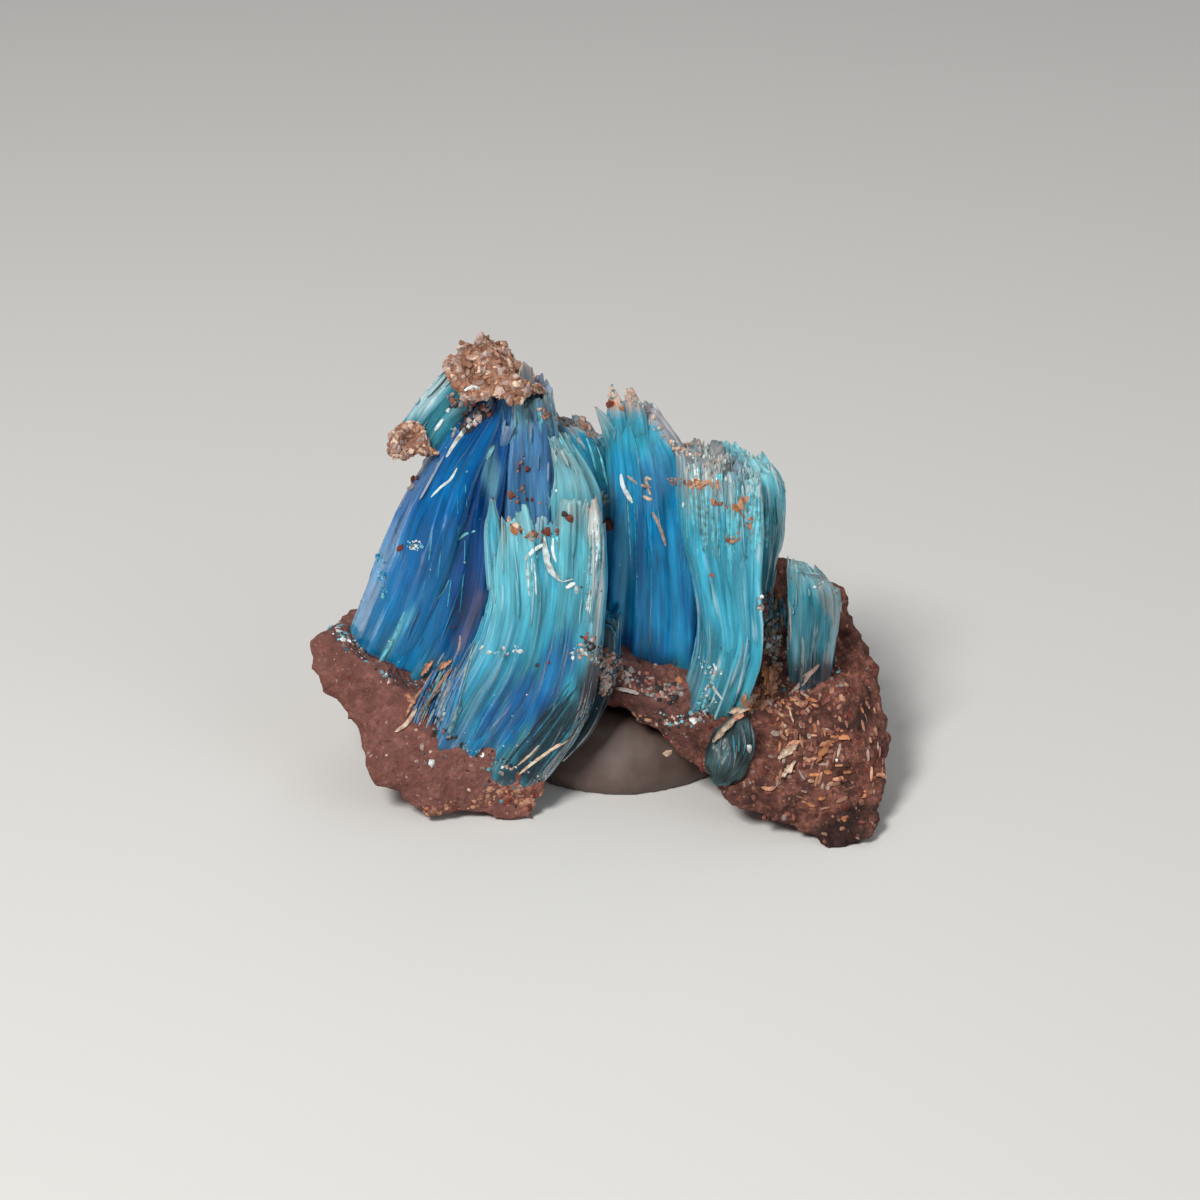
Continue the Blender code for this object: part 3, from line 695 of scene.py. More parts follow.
FRONT_LEFT = (
    Bundle(
        "outer_left_blade", ((-14.0, -4.7, 7.4), (-12.9, -4.8, 10.0), (-11.5, -4.8, 13.4), (-10.4, -4.5, 16.3),
        (-9.2, -3.9, 18.9), (-7.5, -3.0, 21.6), (-6.8, -2.4, 23.0)), (4.8, 4.9, 4.9, 4.5, 3.5, 2.2, 1.4), (4.4,
        2.4), Wear(Shade.SKY, Shade.BLUE, Shade.DEEP, (0.25, 0.1, 0.06), 0.06, 0.0, 0.0, 1.1, Shade.SKY, 0.6),
        yaw=-18.0, seed=SEED, fibre=0.6, blades=10
    ),
    Bundle(
        "inner_left_blade", ((-10.9, -5.3, 5.6), (-9.7, -5.0, 8.0), (-8.5, -4.5, 11.5), (-7.9, -4.2, 14.9),
        (-7.2, -3.8, 18.2), (-6.3, -2.8, 22.8)), (3.8, 3.5, 3.3, 2.9, 2.5, 1.9), (4.5, 3.0), Wear(Shade.TEAL,
        Shade.DEEP, Shade.DEEP, (0.4, 0.06, 0.06), 0.05, 0.0, 0.0, 0.9, Shade.BLUE, 0.6), seed=SEED + 1,
        fibre=0.6, blades=10
    ),
    Bundle(
        "frosted_blade", ((-5.2, -4.8, 10.0), (-5.0, -4.7, 14.0), (-5.0, -4.3, 17.4), (-5.0, -3.7, 20.1),
        (-5.2, -2.6, 22.9)), (3.2, 3.4, 3.6, 3.2, 2.6), (5.0, 3.2), Wear(Shade.DEEP, Shade.VIOLET,
        Shade.VIOLET, frost=(0.3, 0.65, 0.75), streaks=0.16, stain=0.35), seed=SEED + 2
    ),
    Bundle(
        "centre_bundle_left", ((-9.8, -9.2, 2.6), (-9.0, -9.4, 4.2), (-7.7, -9.2, 6.6), (-6.2, -9.1, 9.6),
        (-5.6, -9.0, 12.7), (-5.7, -8.5, 15.7), (-5.9, -7.8, 18.2)), (3.2, 3.5, 3.8, 3.8, 3.7, 3.5, 2.6), (5.2,
        5.2), Wear(Shade.BLUE, Shade.CYAN, Shade.PALE, frost=(0.25, 0.4, 0.65), streaks=0.3, stain=0.2,
        relief=0.7), lean=0.0, drop=4.4, ragged=0.6, seed=SEED + 3, blades=46, fibre=0.30
    ),
    Bundle(
        "centre_bundle_right", ((-6.5, -9.5, 1.6), (-5.7, -9.6, 3.0), (-3.9, -9.3, 6.0), (-2.9, -8.9, 9.2),
        (-2.5, -8.7, 12.5), (-2.4, -8.3, 15.8), (-2.3, -7.6, 18.9)), (3.6, 4.1, 4.2, 3.6, 3.3, 3.3, 2.9), (2.8,
        5.6), Wear(Shade.TEAL, Shade.CYAN, Shade.PALE, frost=(0.15, 0.3, 0.5), streaks=0.22, stain=0.35,
        rim=1.0, relief=0.7), lean=0.0, drop=4.4, ragged=0.6, seed=SEED + 4, blades=46, fibre=0.30
    ),
    Bundle(
        "hanging_fibres", ((-3.7, -8.3, 3.3), (-2.3, -7.9, 5.0), (-1.2, -6.9, 7.6), (-0.9, -6.4, 10.5)), (2.0,
        2.2, 2.2, 1.8), (2.2, 3.4), Wear(Shade.DARK_TEAL, Shade.DARK_TEAL, Shade.TEAL, frost=(0.2, 0.2, 0.3),
        streaks=0.3, stain=0.0), seed=SEED + 5, blades=60
    ),
    Bundle(
        "tongue", ((-2.5, -7.0, 16.8), (-2.6, -6.8, 18.6), (-2.9, -6.2, 20.0), (-3.5, -5.5, 21.3)), (2.8, 2.7,
        1.9, 1.0), (2.2, 1.2), Wear(Shade.SEA, Shade.MIST, Shade.MIST, frost=(0.6, 0.85, 0.9), streaks=0.2,
        stain=0.1), seed=SEED + 6, blades=22, splinters=10
    ),
    Bundle(
        "upper_left_slab", ((-11.0, -2.6, 19.9), (-9.5, -2.4, 21.8), (-7.9, -2.1, 23.8)), (2.7, 2.9, 2.8),
        (2.6, 2.2), Wear(Shade.TEAL, Shade.SEA, Shade.TEAL, frost=(0.4, 0.4, 0.5), streaks=0.2, stain=0.3,
        rim=-0.7), seed=SEED + 15, blades=30, splinters=14
    ),
)

WEBS = (
    Bundle(
        "centre_web", ((-8.0, -9.0, 3.0), (-6.9, -9.1, 5.2), (-5.3, -9.0, 8.4), (-4.3, -8.7, 12.4), (-4.1,
        -8.2, 15.6), (-4.1, -7.5, 17.8)), (3.2, 3.2, 3.0, 2.8, 2.8, 2.4), (3.0, 3.6), Wear(Shade.BLUE,
        Shade.CYAN, Shade.CYAN, frost=(0.2, 0.35, 0.55), streaks=0.25, stain=0.2, relief=0.7), lean=0.0,
        drop=3.0, ragged=0.6, seed=SEED + 50, blades=40, fibre=0.30
    ),
    Bundle(
        "right_web", ((5.1, -7.3, 4.0), (6.1, -8.05, 7.8), (6.4, -7.8, 10.3), (6.2, -7.2, 13.2), (5.9, -6.5,
        16.5), (5.6, -4.8, 19.4)), (2.0, 2.2, 2.2, 2.4, 2.6, 2.4), (3.0, 3.0), Wear(Shade.SEA, Shade.CYAN,
        Shade.CYAN, frost=(0.5, 0.45, 0.75), streaks=0.3, stain=0.4, relief=0.7), lean=1.4, seed=SEED + 51,
        blades=30, fibre=0.30
    ),
    Bundle(
        "peak_web", ((1.4, -4.35, 5.0), (1.6, -4.55, 11.0), (1.6, -4.15, 14.6), (1.4, -3.5, 17.6), (0.9, -2.6,
        20.0), (0.5, -1.8, 21.6)), (2.4, 2.4, 2.2, 2.0, 1.8, 1.1), (3.0, 2.0), Wear(Shade.BLUE, Shade.AZURE,
        Shade.CYAN, (0.1, 0.12, 0.4), 0.1, 0.5, 0.0, 0.7, Shade.SKY, 0.7), seed=SEED + 52, blades=8,
        splinters=0, stubs=0, fibre=0.6, ragged=0.15
    ),
    Bundle(
        "left_web", ((-12.2, -4.9, 6.6), (-11.1, -4.9, 9.2), (-9.9, -4.7, 12.6), (-9.1, -4.3, 15.6), (-8.2,
        -3.8, 18.4), (-7.0, -2.9, 21.8)), (3.4, 3.4, 3.2, 2.8, 2.4, 1.6), (3.0, 2.0), Wear(Shade.SKY,
        Shade.BLUE, Shade.DEEP, (0.3, 0.1, 0.06), 0.05, 0.0, 0.0, 0.9, Shade.SKY, 0.6), seed=SEED + 53,
        blades=8, splinters=6, stubs=8, fibre=0.75
    ),
)

BACK_WEBS = (
    Bundle(
        "crown_web", ((-6.2, 1.4, 13.0), (-6.4, 1.1, 18.5), (-6.8, 0.7, 23.2)), (4.0, 4.0, 4.0), (3.2, 3.0),
        Wear(Shade.BLUE, Shade.BLUE, Shade.TEAL, (0.2, 0.2, 0.4), 0.1, 0.8, relief=0.8), yaw=180.0, seed=SEED + 63
    ),
    Bundle(
        "back_left_web", ((-8.0, 2.9, 5.4), (-7.6, 3.1, 10.0), (-7.0, 2.6, 14.4), (-6.4, 1.6, 18.6)),
        (4.2, 4.2, 3.8, 3.2), (6.0, 4.0),
        Wear(Shade.BLUE, Shade.SKY, Shade.CYAN, (0.2, 0.25, 0.5), 0.15, 0.4, relief=0.8, light=Shade.CYAN),
        yaw=-170.0, lean=1.6, seed=SEED + 60
    ),
    Bundle(
        "back_middle_web", ((-1.9, 3.5, 5.8), (-1.8, 3.9, 10.6), (-1.9, 3.0, 14.0), (-2.0, 1.8, 17.6)),
        (4.0, 4.2, 3.8, 3.2), (6.0, 4.0),
        Wear(Shade.BLUE, Shade.SKY, Shade.CYAN, (0.2, 0.3, 0.6), 0.2, 0.5, relief=0.8), yaw=180.0, lean=1.6, seed=SEED + 61
    ),
    Bundle(
        "back_right_web", ((3.4, 3.0, 6.6), (3.6, 3.5, 11.2), (3.5, 2.6, 14.4), (3.2, 1.4, 17.4)),
        (3.8, 4.0, 3.6, 3.0), (6.0, 4.0),
        Wear(Shade.SEA, Shade.SKY, Shade.SEA, (0.2, 0.3, 0.5), 0.2, 0.5, relief=0.8), yaw=170.0, lean=1.6, seed=SEED + 62
    ),
)

TEETH = (
    Bundle("peak_tooth_left", ((0.0, -2.3, 18.6), (-0.55, -2.5, 20.6), (-1.42, -2.25, 22.0)), (1.2, 0.9, 0.1),
        (0.9, 0.15), Wear(Shade.CYAN, Shade.MIST, Shade.DUSK, (0.3, 0.5, 0.8), 0.2), seed=SEED + 70, lean=0.0,
        ragged=0.05, blades=0, splinters=0, stubs=0, fibre=0.25),
    Bundle("peak_tooth_middle", ((0.0, -2.5, 18.8), (-0.28, -2.35, 21.5), (-0.58, -1.9, 23.1)), (1.2, 1.05, 0.22),
        (1.0, 0.2), Wear(Shade.SKY, Shade.CYAN, Shade.PINK_TAN, (0.3, 0.5, 0.8), 0.2, 0.3), seed=SEED + 71,
        lean=0.0, ragged=0.05, blades=0, splinters=0, stubs=0, fibre=0.25),
    Bundle("peak_tooth_right", ((1.0, -2.5, 18.8), (0.77, -2.35, 21.4), (0.44, -1.9, 22.9)), (1.6, 1.3, 0.4),
        (1.0, 0.25), Wear(Shade.SKY, Shade.MIST, Shade.CREAM, (0.3, 0.6, 0.8), 0.2, 0.2), seed=SEED + 72,
        lean=0.0, ragged=0.1, blades=0, splinters=0, stubs=0, fibre=0.25),
    Bundle("ridge_tooth", ((2.6, -2.6, 17.6), (2.2, -2.45, 19.9), (1.75, -2.1, 21.3)), (1.9, 1.5, 0.3),
        (1.0, 0.25), Wear(Shade.CYAN, Shade.PINK_TAN, Shade.DUSK, (0.3, 0.7, 0.8), 0.3, 0.2, 0.6), seed=SEED + 73,
        lean=0.0, ragged=0.3, blades=0, splinters=3, stubs=0, fibre=0.25),
    Bundle("centre_tooth", ((-6.8, -7.4, 13.0), (-6.95, -8.1, 17.0), (-7.0, -7.9, 19.1)), (1.0, 0.85, 0.15),
        (1.2, 0.2), Wear(Shade.CYAN, Shade.CYAN, Shade.MIST, (0.3, 0.5, 0.8), 0.3), seed=SEED + 74,
        lean=0.0, ragged=0.1, blades=4, splinters=0, stubs=0, fibre=0.25),
    Bundle("centre_right_tooth", ((-1.5, -7.6, 13.0), (-1.45, -8.0, 17.0), (-1.5, -7.6, 18.9)), (0.9, 0.8, 0.3),
        (1.0, 0.3), Wear(Shade.PALE, Shade.WHITE, Shade.PINK_TAN, (0.6, 0.8, 0.9), 0.3), seed=SEED + 75,
        lean=0.0, ragged=0.3, blades=4, splinters=0, stubs=0, fibre=0.25),
)

FRONT_RIGHT = (
    Bundle(
        "rear_blade", ((-1.7, -3.2, 9.0), (-1.6, -2.6, 13.9), (-1.9, -2.2, 17.0), (-2.6, -1.6, 18.9), (-3.2,
        -1.0, 20.2)), (3.6, 4.2, 4.4, 4.0, 3.4), (5.0, 3.0), Wear(Shade.BLUE, Shade.SKY, Shade.SEA, (0.12,
        0.25, 0.45), 0.12, 0.5, 0.0, 0.7, Shade.CYAN, 0.7), slant=4.2, ragged=0.6, seed=SEED + 7
    ),
    Bundle(
        "peak_spike", ((-0.2, -3.2, 15.0), (-0.2, -2.9, 18.6), (-0.7, -2.5, 20.8)), (1.2, 1.0, 0.6), (3.0,
        1.2), Wear(Shade.CYAN, Shade.CYAN, Shade.CYAN, frost=(0.4, 0.4, 0.6), stain=0.0), seed=SEED + 8,
        blades=8, splinters=0, stubs=0, ragged=0.1
    ),
    Bundle(
        "peak_left", ((0.0, -4.3, 5.6), (0.3, -4.5, 11.5), (0.5, -4.1, 15.0), (0.4, -3.6, 17.8), (0.1, -2.8,
        20.2), (-0.1, -1.9, 21.9)), (2.9, 2.7, 2.5, 2.3, 2.0, 1.3), (5.0, 2.0), Wear(Shade.BLUE, Shade.SKY,
        Shade.CYAN, (0.12, 0.2, 0.5), 0.15, 0.5, 0.0, 0.6, Shade.CYAN, 0.7), seed=SEED + 9, fibre=0.6,
        ragged=0.15, blades=8, splinters=0, stubs=0
    ),
    Bundle(
        "peak_right", ((2.7, -4.6, 4.4), (2.9, -4.8, 10.5), (2.7, -4.4, 14.2), (2.4, -3.7, 17.0), (2.1, -2.9,
        19.0), (1.1, -1.8, 21.6)), (3.9, 3.9, 3.4, 3.2, 2.9, 1.4), (5.0, 2.2), Wear(Shade.BLUE, Shade.AZURE,
        Shade.CYAN, (0.08, 0.08, 0.4), 0.08, 0.6, 0.0, 0.7, Shade.SKY, 0.7), seed=SEED + 10, fibre=0.6,
        ragged=0.25, blades=8, splinters=4, stubs=10
    ),
    Bundle(
        "ridge_bundle", ((4.2, -4.6, 7.0), (4.0, -4.2, 13.0), (3.7, -3.3, 16.4), (3.5, -2.6, 19.0)), (3.2, 3.2,
        3.2, 2.6), (5.0, 3.0), Wear(Shade.BLUE, Shade.SKY, Shade.SEA, frost=(0.2, 0.3, 0.7), streaks=0.2,
        stain=1.0), seed=SEED + 11
    ),
    Bundle(
        "right_bundle_left", ((4.3, -7.2, 3.8), (5.3, -8.0, 7.6), (5.6, -7.8, 10.2), (5.3, -7.2, 13.2), (4.8,
        -6.5, 16.6), (4.5, -4.6, 20.2)), (2.3, 2.6, 2.7, 2.8, 3.1, 2.9), (5.0, 4.0), Wear(Shade.SEA,
        Shade.CYAN, Shade.SEA, frost=(0.5, 0.4, 0.7), streaks=0.35, stain=0.5, relief=0.7), lean=1.8, seed=SEED
        + 12, blades=46, fibre=0.30
    ),
    Bundle(
        "right_bundle_right", ((5.7, -7.6, 3.8), (6.9, -8.3, 8.1), (7.3, -7.9, 10.3), (7.1, -7.3, 13.3), (7.0,
        -6.6, 16.4), (6.7, -4.8, 19.4)), (2.3, 2.5, 2.1, 2.2, 2.7, 2.7), (5.0, 4.0), Wear(Shade.SEA,
        Shade.CYAN, Shade.PALE, frost=(0.6, 0.6, 0.85), streaks=0.45, stain=0.3, rim=0.5, relief=0.7),
        yaw=12.0, lean=1.8, seed=SEED + 13, blades=46, fibre=0.30
    ),
    Bundle(
        "right_rear_bundle", ((7.7, -3.6, 6.4), (7.9, -3.5, 11.4), (8.2, -3.0, 14.2), (8.1, -2.5, 16.6), (7.5,
        -1.6, 18.6)), (2.5, 2.9, 3.3, 3.3, 2.6), (4.5, 3.0), Wear(Shade.TEAL, Shade.SEA, Shade.PALE,
        frost=(0.3, 0.5, 0.8), streaks=0.4, stain=0.15), yaw=15.0, slant=1.6, lean=1.4, seed=SEED + 14
    ),
)

BACK = (
    Bundle(
        "back_left", ((-11.2, 1.6, 5.2), (-10.0, 2.4, 10.0), (-8.9, 2.2, 15.0), (-8.0, 1.4, 18.6), (-7.0, 0.5,
        21.6)), (4.6, 4.9, 4.6, 4.0, 2.8), (6.0, 4.0), Wear(Shade.SKY, Shade.BLUE, Shade.SKY, frost=(0.3, 0.2,
        0.4), streaks=0.2, stain=0.5), yaw=-155.0, seed=SEED + 16, fibre=0.5
    ),
    Bundle(
        "back_centre", ((-4.9, 3.4, 5.8), (-4.6, 3.9, 11.0), (-4.6, 3.1, 14.6), (-4.5, 1.8, 18.2)), (5.2, 5.4,
        5.0, 4.0), (7.0, 4.0), Wear(Shade.BLUE, Shade.SKY, Shade.CYAN, frost=(0.2, 0.35, 0.6), streaks=0.3,
        stain=0.6), yaw=180.0, seed=SEED + 17, fibre=0.5
    ),
    Bundle(
        "back_peak", ((0.9, 3.6, 6.2), (1.0, 4.2, 11.0), (0.9, 3.0, 14.2), (0.8, 1.8, 17.4)), (5.0, 5.2, 4.8,
        3.4), (7.5, 4.0), Wear(Shade.SEA, Shade.CYAN, Shade.SEA, frost=(0.3, 0.45, 0.6), streaks=0.35,
        stain=0.6), yaw=178.0, seed=SEED + 18, fibre=0.5
    ),
    Bundle(
        "back_right", ((5.6, 2.4, 7.6), (6.0, 3.0, 12.0), (5.9, 2.2, 14.8), (5.4, 1.2, 17.2)), (4.4, 4.8, 4.6,
        3.6), (6.5, 4.0), Wear(Shade.BLUE, Shade.BLUE, Shade.SEA, frost=(0.2, 0.2, 0.5), streaks=0.2,
        stain=0.6), yaw=160.0, seed=SEED + 19, fibre=0.5
    ),
)

HEART = Bundle(
    "heart",
    ((-1.5, -3.0, 5.5), (-1.4, -3.0, 10.0), (-1.2, -3.0, 14.0), (-1.0, -2.8, 17.2)),
    (17.0, 16.4, 15.0, 13.6),
    (5.4, 3.4),
    Wear(Shade.DEEP, Shade.BLUE, Shade.SEA, frost=(0.2, 0.2, 0.5), streaks=0.1, stain=0.6),
    seed=SEED + 30,
    fibre=0.6,
    blades=0,
    splinters=0,
)

SIDE = Bundle(
    "side_crystal",
    ((11.0, -5.4, 4.8), (11.1, -6.0, 8.6), (11.1, -5.9, 11.4), (10.9, -5.5, 13.0)),
    (2.7, 2.9, 3.0, 2.7),
    (2.6, 1.8),
    Wear(Shade.DARK_TEAL, Shade.TEAL, Shade.SEA, frost=(0.2, 0.3, 0.55), streaks=0.14, stain=0.3, rim=-0.35),
    yaw=10.0,
    slant=2.4,
    seed=SEED + 40,
    ragged=0.4,
    fibre=0.34,
    blades=36,
    splinters=6,
)


class Nodes:
    """Short calls for wiring a material's nodes."""

    def __init__(self, name: str) -> None:
        """Starts a material that holds a Principled shader alone."""
        self.material = bpy.data.materials.new(name)
        self.material.use_nodes = True
        self.tree = self.material.node_tree
        self.shader = self.tree.nodes["Principled BSDF"]

    def add(self, kind: str, **settings: object) -> bpy.types.Node:
        """A new node with its own settings made."""
        node = self.tree.nodes.new(kind)
        for key, value in settings.items():
            setattr(node, key, value)
        return node

    def wire(self, source: bpy.types.NodeSocket, target: bpy.types.NodeSocket) -> None:
        """Joins an output to an input."""
        self.tree.links.new(source, target)

    def noise(self, vector: bpy.types.NodeSocket, scale: float, detail: float = 3.0) -> bpy.types.NodeSocket:
        """Noise from 0 to 1."""
        node = self.add("ShaderNodeTexNoise")
        node.inputs["Scale"].default_value = scale
        node.inputs["Detail"].default_value = detail
        self.wire(vector, node.inputs["Vector"])
        return node.outputs["Fac"]

    def cells(self, vector: bpy.types.NodeSocket, scale: float, output: str) -> bpy.types.NodeSocket:
        """Voronoi cells: output is Distance or Color."""
        node = self.add("ShaderNodeTexVoronoi")
        node.inputs["Scale"].default_value = scale
        self.wire(vector, node.inputs["Vector"])
        return node.outputs[output]

    def stretch(self, vector: bpy.types.NodeSocket, scale: tuple[float, float, float]) -> bpy.types.NodeSocket:
        """A vector with each axis scaled."""
        node = self.add("ShaderNodeMapping")
        node.inputs["Scale"].default_value = scale
        self.wire(vector, node.inputs["Vector"])
        return node.outputs["Vector"]

    def span(
        self, value: bpy.types.NodeSocket, low: float, high: float, to_low: float, to_high: float
    ) -> bpy.types.NodeSocket:
        """A value moved from one range to another, and held inside it."""
        node = self.add("ShaderNodeMapRange")
        for key, number in (("From Min", low), ("From Max", high), ("To Min", to_low), ("To Max", to_high)):
            node.inputs[key].default_value = number
        self.wire(value, node.inputs["Value"])
        return node.outputs["Result"]

    def mix(
        self,
        share: bpy.types.NodeSocket | float,
        low: bpy.types.NodeSocket | Colour,
        high: bpy.types.NodeSocket | Colour,
        how: str = "MIX",
    ) -> bpy.types.NodeSocket:
        """Two colours mixed by a share."""
        node = self.add("ShaderNodeMix", data_type="RGBA", blend_type=how)
        for socket, value in ((node.inputs[0], share), (node.inputs[6], low), (node.inputs[7], high)):
            if isinstance(value, bpy.types.NodeSocket):
                self.wire(value, socket)
            elif isinstance(value, tuple):
                socket.default_value = (*value, 1.0)
            else:
                socket.default_value = value
        return node.outputs[2]

    def math(self, how: str, first: bpy.types.NodeSocket, second: bpy.types.NodeSocket | float) -> bpy.types.NodeSocket:
        """One sum on two values."""
        node = self.add("ShaderNodeMath", operation=how)
        self.wire(first, node.inputs[0])
        if isinstance(second, bpy.types.NodeSocket):
            self.wire(second, node.inputs[1])
        else:
            node.inputs[1].default_value = second
        return node.outputs[0]

    def bump(self, height: bpy.types.NodeSocket, strength: float, depth_mm: float) -> None:
        """Raises the surface by a height from 0 to 1."""
        node = self.add("ShaderNodeBump")
        node.inputs["Strength"].default_value = strength
        node.inputs["Distance"].default_value = depth_mm * MM
        self.wire(height, node.inputs["Height"])
        self.wire(node.outputs["Normal"], self.shader.inputs["Normal"])

    def put(self, **values: object) -> None:
        """Sets the shader's sockets; an underscore in a name stands for a space."""
        for key, value in values.items():
            self.shader.inputs[key.replace("_", " ")].default_value = value


@dataclass(frozen=True)
class CrystalFinish:
    """Silky translucent crystal, glassy where its frost is low.

    Attributes:
        name: the material's name.
        clear: share of light that passes where there is no frost.
        streak_share: how much fine streaks change the colour.
        body: the colour of light that has passed through.
        density: how fast it is absorbed, for each metre.
    """

    name: str
    clear: float = 0.42
    streak_share: float = 0.34
    body: Colour = (0.0, 0.50, 0.92)
    density: float = 1200.0

    def material(self) -> bpy.types.Material:
        """The crystal's material, which reads the tint and grain attributes."""
        nodes = Nodes(self.name)
        tint = nodes.add("ShaderNodeAttribute", attribute_name="tint")
        grain = nodes.add("ShaderNodeAttribute", attribute_name="grain")
        fine = nodes.noise(nodes.stretch(grain.outputs["Vector"], (9.0, 0.55, 1.0)), 1.0, 4.0)
        broad = nodes.noise(nodes.stretch(grain.outputs["Vector"], (2.0, 0.22, 1.0)), 1.0, 3.0)
        fibres = nodes.noise(nodes.stretch(grain.outputs["Vector"], (3.4, 0.22, 1.0)), 1.0, 2.0)
        mixed = nodes.math("ADD", nodes.math("MULTIPLY", fine, 0.4), nodes.math("MULTIPLY", fibres, 0.6))
        light = nodes.span(mixed, 0.35, 0.65, 1.0 - self.streak_share, 1.0 + self.streak_share)
        grey = nodes.add("ShaderNodeCombineColor")
        for channel in range(3):
            nodes.wire(light, grey.inputs[channel])
        colour = nodes.mix(1.0, tint.outputs["Color"], grey.outputs["Color"], "MULTIPLY")
        nodes.wire(colour, nodes.shader.inputs["Base Color"])
        frost = tint.outputs["Alpha"]
        rough = nodes.math("ADD", nodes.span(frost, 0.0, 1.0, 0.09, 0.40), nodes.span(broad, 0.3, 0.7, -0.03, 0.08))
        nodes.wire(rough, nodes.shader.inputs["Roughness"])
        nodes.wire(nodes.span(frost, 0.0, 0.8, self.clear, 0.04), nodes.shader.inputs["Transmission Weight"])
        nodes.put(
            IOR=1.5,
            Specular_IOR_Level=0.16,
            Subsurface_Weight=0.35,
            Subsurface_Radius=(0.2, 0.7, 1.0),
            Subsurface_Scale=1.0 * MM,
        )
        height = nodes.math("ADD", nodes.math("MULTIPLY", fine, 0.3), nodes.math("MULTIPLY", fibres, 0.5))
        height = nodes.math("ADD", height, nodes.math("MULTIPLY", broad, 0.3))
        nodes.bump(height, 0.8, 0.12)
        inside = nodes.add("ShaderNodeVolumeAbsorption")
        inside.inputs["Color"].default_value = (*self.body, 1.0)
        inside.inputs["Density"].default_value = self.density
        output = nodes.tree.nodes["Material Output"]
        nodes.wire(inside.outputs["Volume"], output.inputs["Volume"])
        return nodes.material


@dataclass(frozen=True)
class RockFinish:
    """Granular red-brown rock: dusty on the left lobe, coarse with orange grains on the right one."""

    name: str = "host_rock_finish"
    dark: Colour = (0.075, 0.026, 0.020)
    middle: Colour = (0.165, 0.060, 0.047)
    dusty: Colour = (0.205, 0.084, 0.070)
    brown: Colour = (0.150, 0.048, 0.029)
    orange: Colour = (0.380, 0.150, 0.075)
    pale: Colour = (0.480, 0.340, 0.280)
    pink: Colour = (0.300, 0.130, 0.105)

    def material(self) -> bpy.types.Material:
        """The rock's material, on Object coordinates."""
        nodes = Nodes(self.name)
        place = nodes.add("ShaderNodeTexCoord").outputs["Object"]
        broad = nodes.noise(place, 230.0, 4.0)
        grit = nodes.noise(place, 3800.0, 5.0)
        speck = nodes.noise(place, 7000.0, 2.0)
        cells = nodes.cells(place, 5200.0, "Color")
        pick = nodes.add("ShaderNodeSeparateColor")
        nodes.wire(cells, pick.inputs["Color"])
        spread = nodes.add("ShaderNodeSeparateXYZ")
        nodes.wire(place, spread.inputs["Vector"])
        right = nodes.span(spread.outputs["X"], 1.0 * MM, 6.0 * MM, 0.0, 1.0)
        colour = nodes.mix(nodes.span(broad, 0.35, 0.65, 0.0, 1.0), self.middle, self.dusty)
        colour = nodes.mix(nodes.math("MULTIPLY", right, nodes.span(broad, 0.3, 0.7, 0.9, 0.45)), colour, self.brown)
        mottle = nodes.noise(place, 1500.0, 4.0)
        # Painted shade: shadow and veil darken the colour where the mottle and grit noises, which also raise the bump,
        # run low, so the hollows look shaded.
        shadow = nodes.math("MULTIPLY", nodes.span(right, 0.0, 1.0, 0.35, 1.0), nodes.span(mottle, 0.38, 0.5, 1.0, 0.0))
        colour = nodes.mix(shadow, colour, self.dark)
        blush = nodes.math("MULTIPLY", nodes.span(mottle, 0.52, 0.68, 0.0, 0.55), nodes.span(grit, 0.4, 0.6, 0.4, 1.0))
        colour = nodes.mix(blush, colour, self.pink)
        veil = nodes.math("MULTIPLY", nodes.span(right, 0.0, 1.0, 0.45, 1.0), nodes.span(grit, 0.32, 0.55, 0.8, 0.0))
        colour = nodes.mix(veil, colour, self.dark)
        chosen = nodes.span(pick.outputs["Red"], 0.84, 0.88, 0.0, 1.0)
        chosen = nodes.math("MULTIPLY", chosen, nodes.span(right, 0.0, 1.0, 0.12, 0.4))
        chosen = nodes.math("MULTIPLY", chosen, nodes.span(grit, 0.42, 0.56, 0.15, 1.0))
        colour = nodes.mix(chosen, colour, self.orange)
        colour = nodes.mix(nodes.span(speck, 0.68, 0.74, 0.0, 0.45), colour, self.pale)
        # Painted shade: the tint attribute multiplies the colour; it darkens the hollows and, through the rock's
        # painted-shade table, the undersides and crevices.
        shade = nodes.add("ShaderNodeAttribute", attribute_name="tint")
        colour = nodes.mix(1.0, colour, shade.outputs["Color"], "MULTIPLY")
        nodes.wire(colour, nodes.shader.inputs["Base Color"])
        nodes.wire(nodes.span(grit, 0.3, 0.7, 0.72, 0.96), nodes.shader.inputs["Roughness"])
        nodes.put(Specular_IOR_Level=0.35)
        distance = nodes.cells(place, 3400.0, "Distance")
        height = nodes.math("ADD", nodes.math("MULTIPLY", grit, 0.5), nodes.math("MULTIPLY", distance, -0.35))
        height = nodes.math("ADD", height, nodes.math("MULTIPLY", mottle, 0.8))
        nodes.bump(height, 0.9, 0.28)
        return nodes.material


@dataclass(frozen=True)
class GrainFinish:
    """Dull crumbs and crusts, coloured by their tint attribute."""

    name: str
    roughness: float = 0.78
    glow: float = 0.0

    def material(self) -> bpy.types.Material:
        """The crumbs' material."""
        nodes = Nodes(self.name)
        tint = nodes.add("ShaderNodeAttribute", attribute_name="tint")
        place = nodes.add("ShaderNodeTexCoord").outputs["Object"]
        mottle = nodes.noise(place, 3200.0, 4.0)
        low, high = (0.52, 0.46, 0.42), (1.0, 1.0, 1.0)
        veil = nodes.mix(nodes.span(mottle, 0.35, 0.6, 0.0, 1.0), low, high)
        colour = nodes.mix(1.0, tint.outputs["Color"], veil, "MULTIPLY")
        nodes.wire(colour, nodes.shader.inputs["Base Color"])
        nodes.put(Roughness=self.roughness, Specular_IOR_Level=0.4, Subsurface_Weight=self.glow, Subsurface_Scale=0.3 * MM)
        nodes.bump(nodes.noise(place, 5200.0, 3.0), 0.6, 0.08)
        return nodes.material


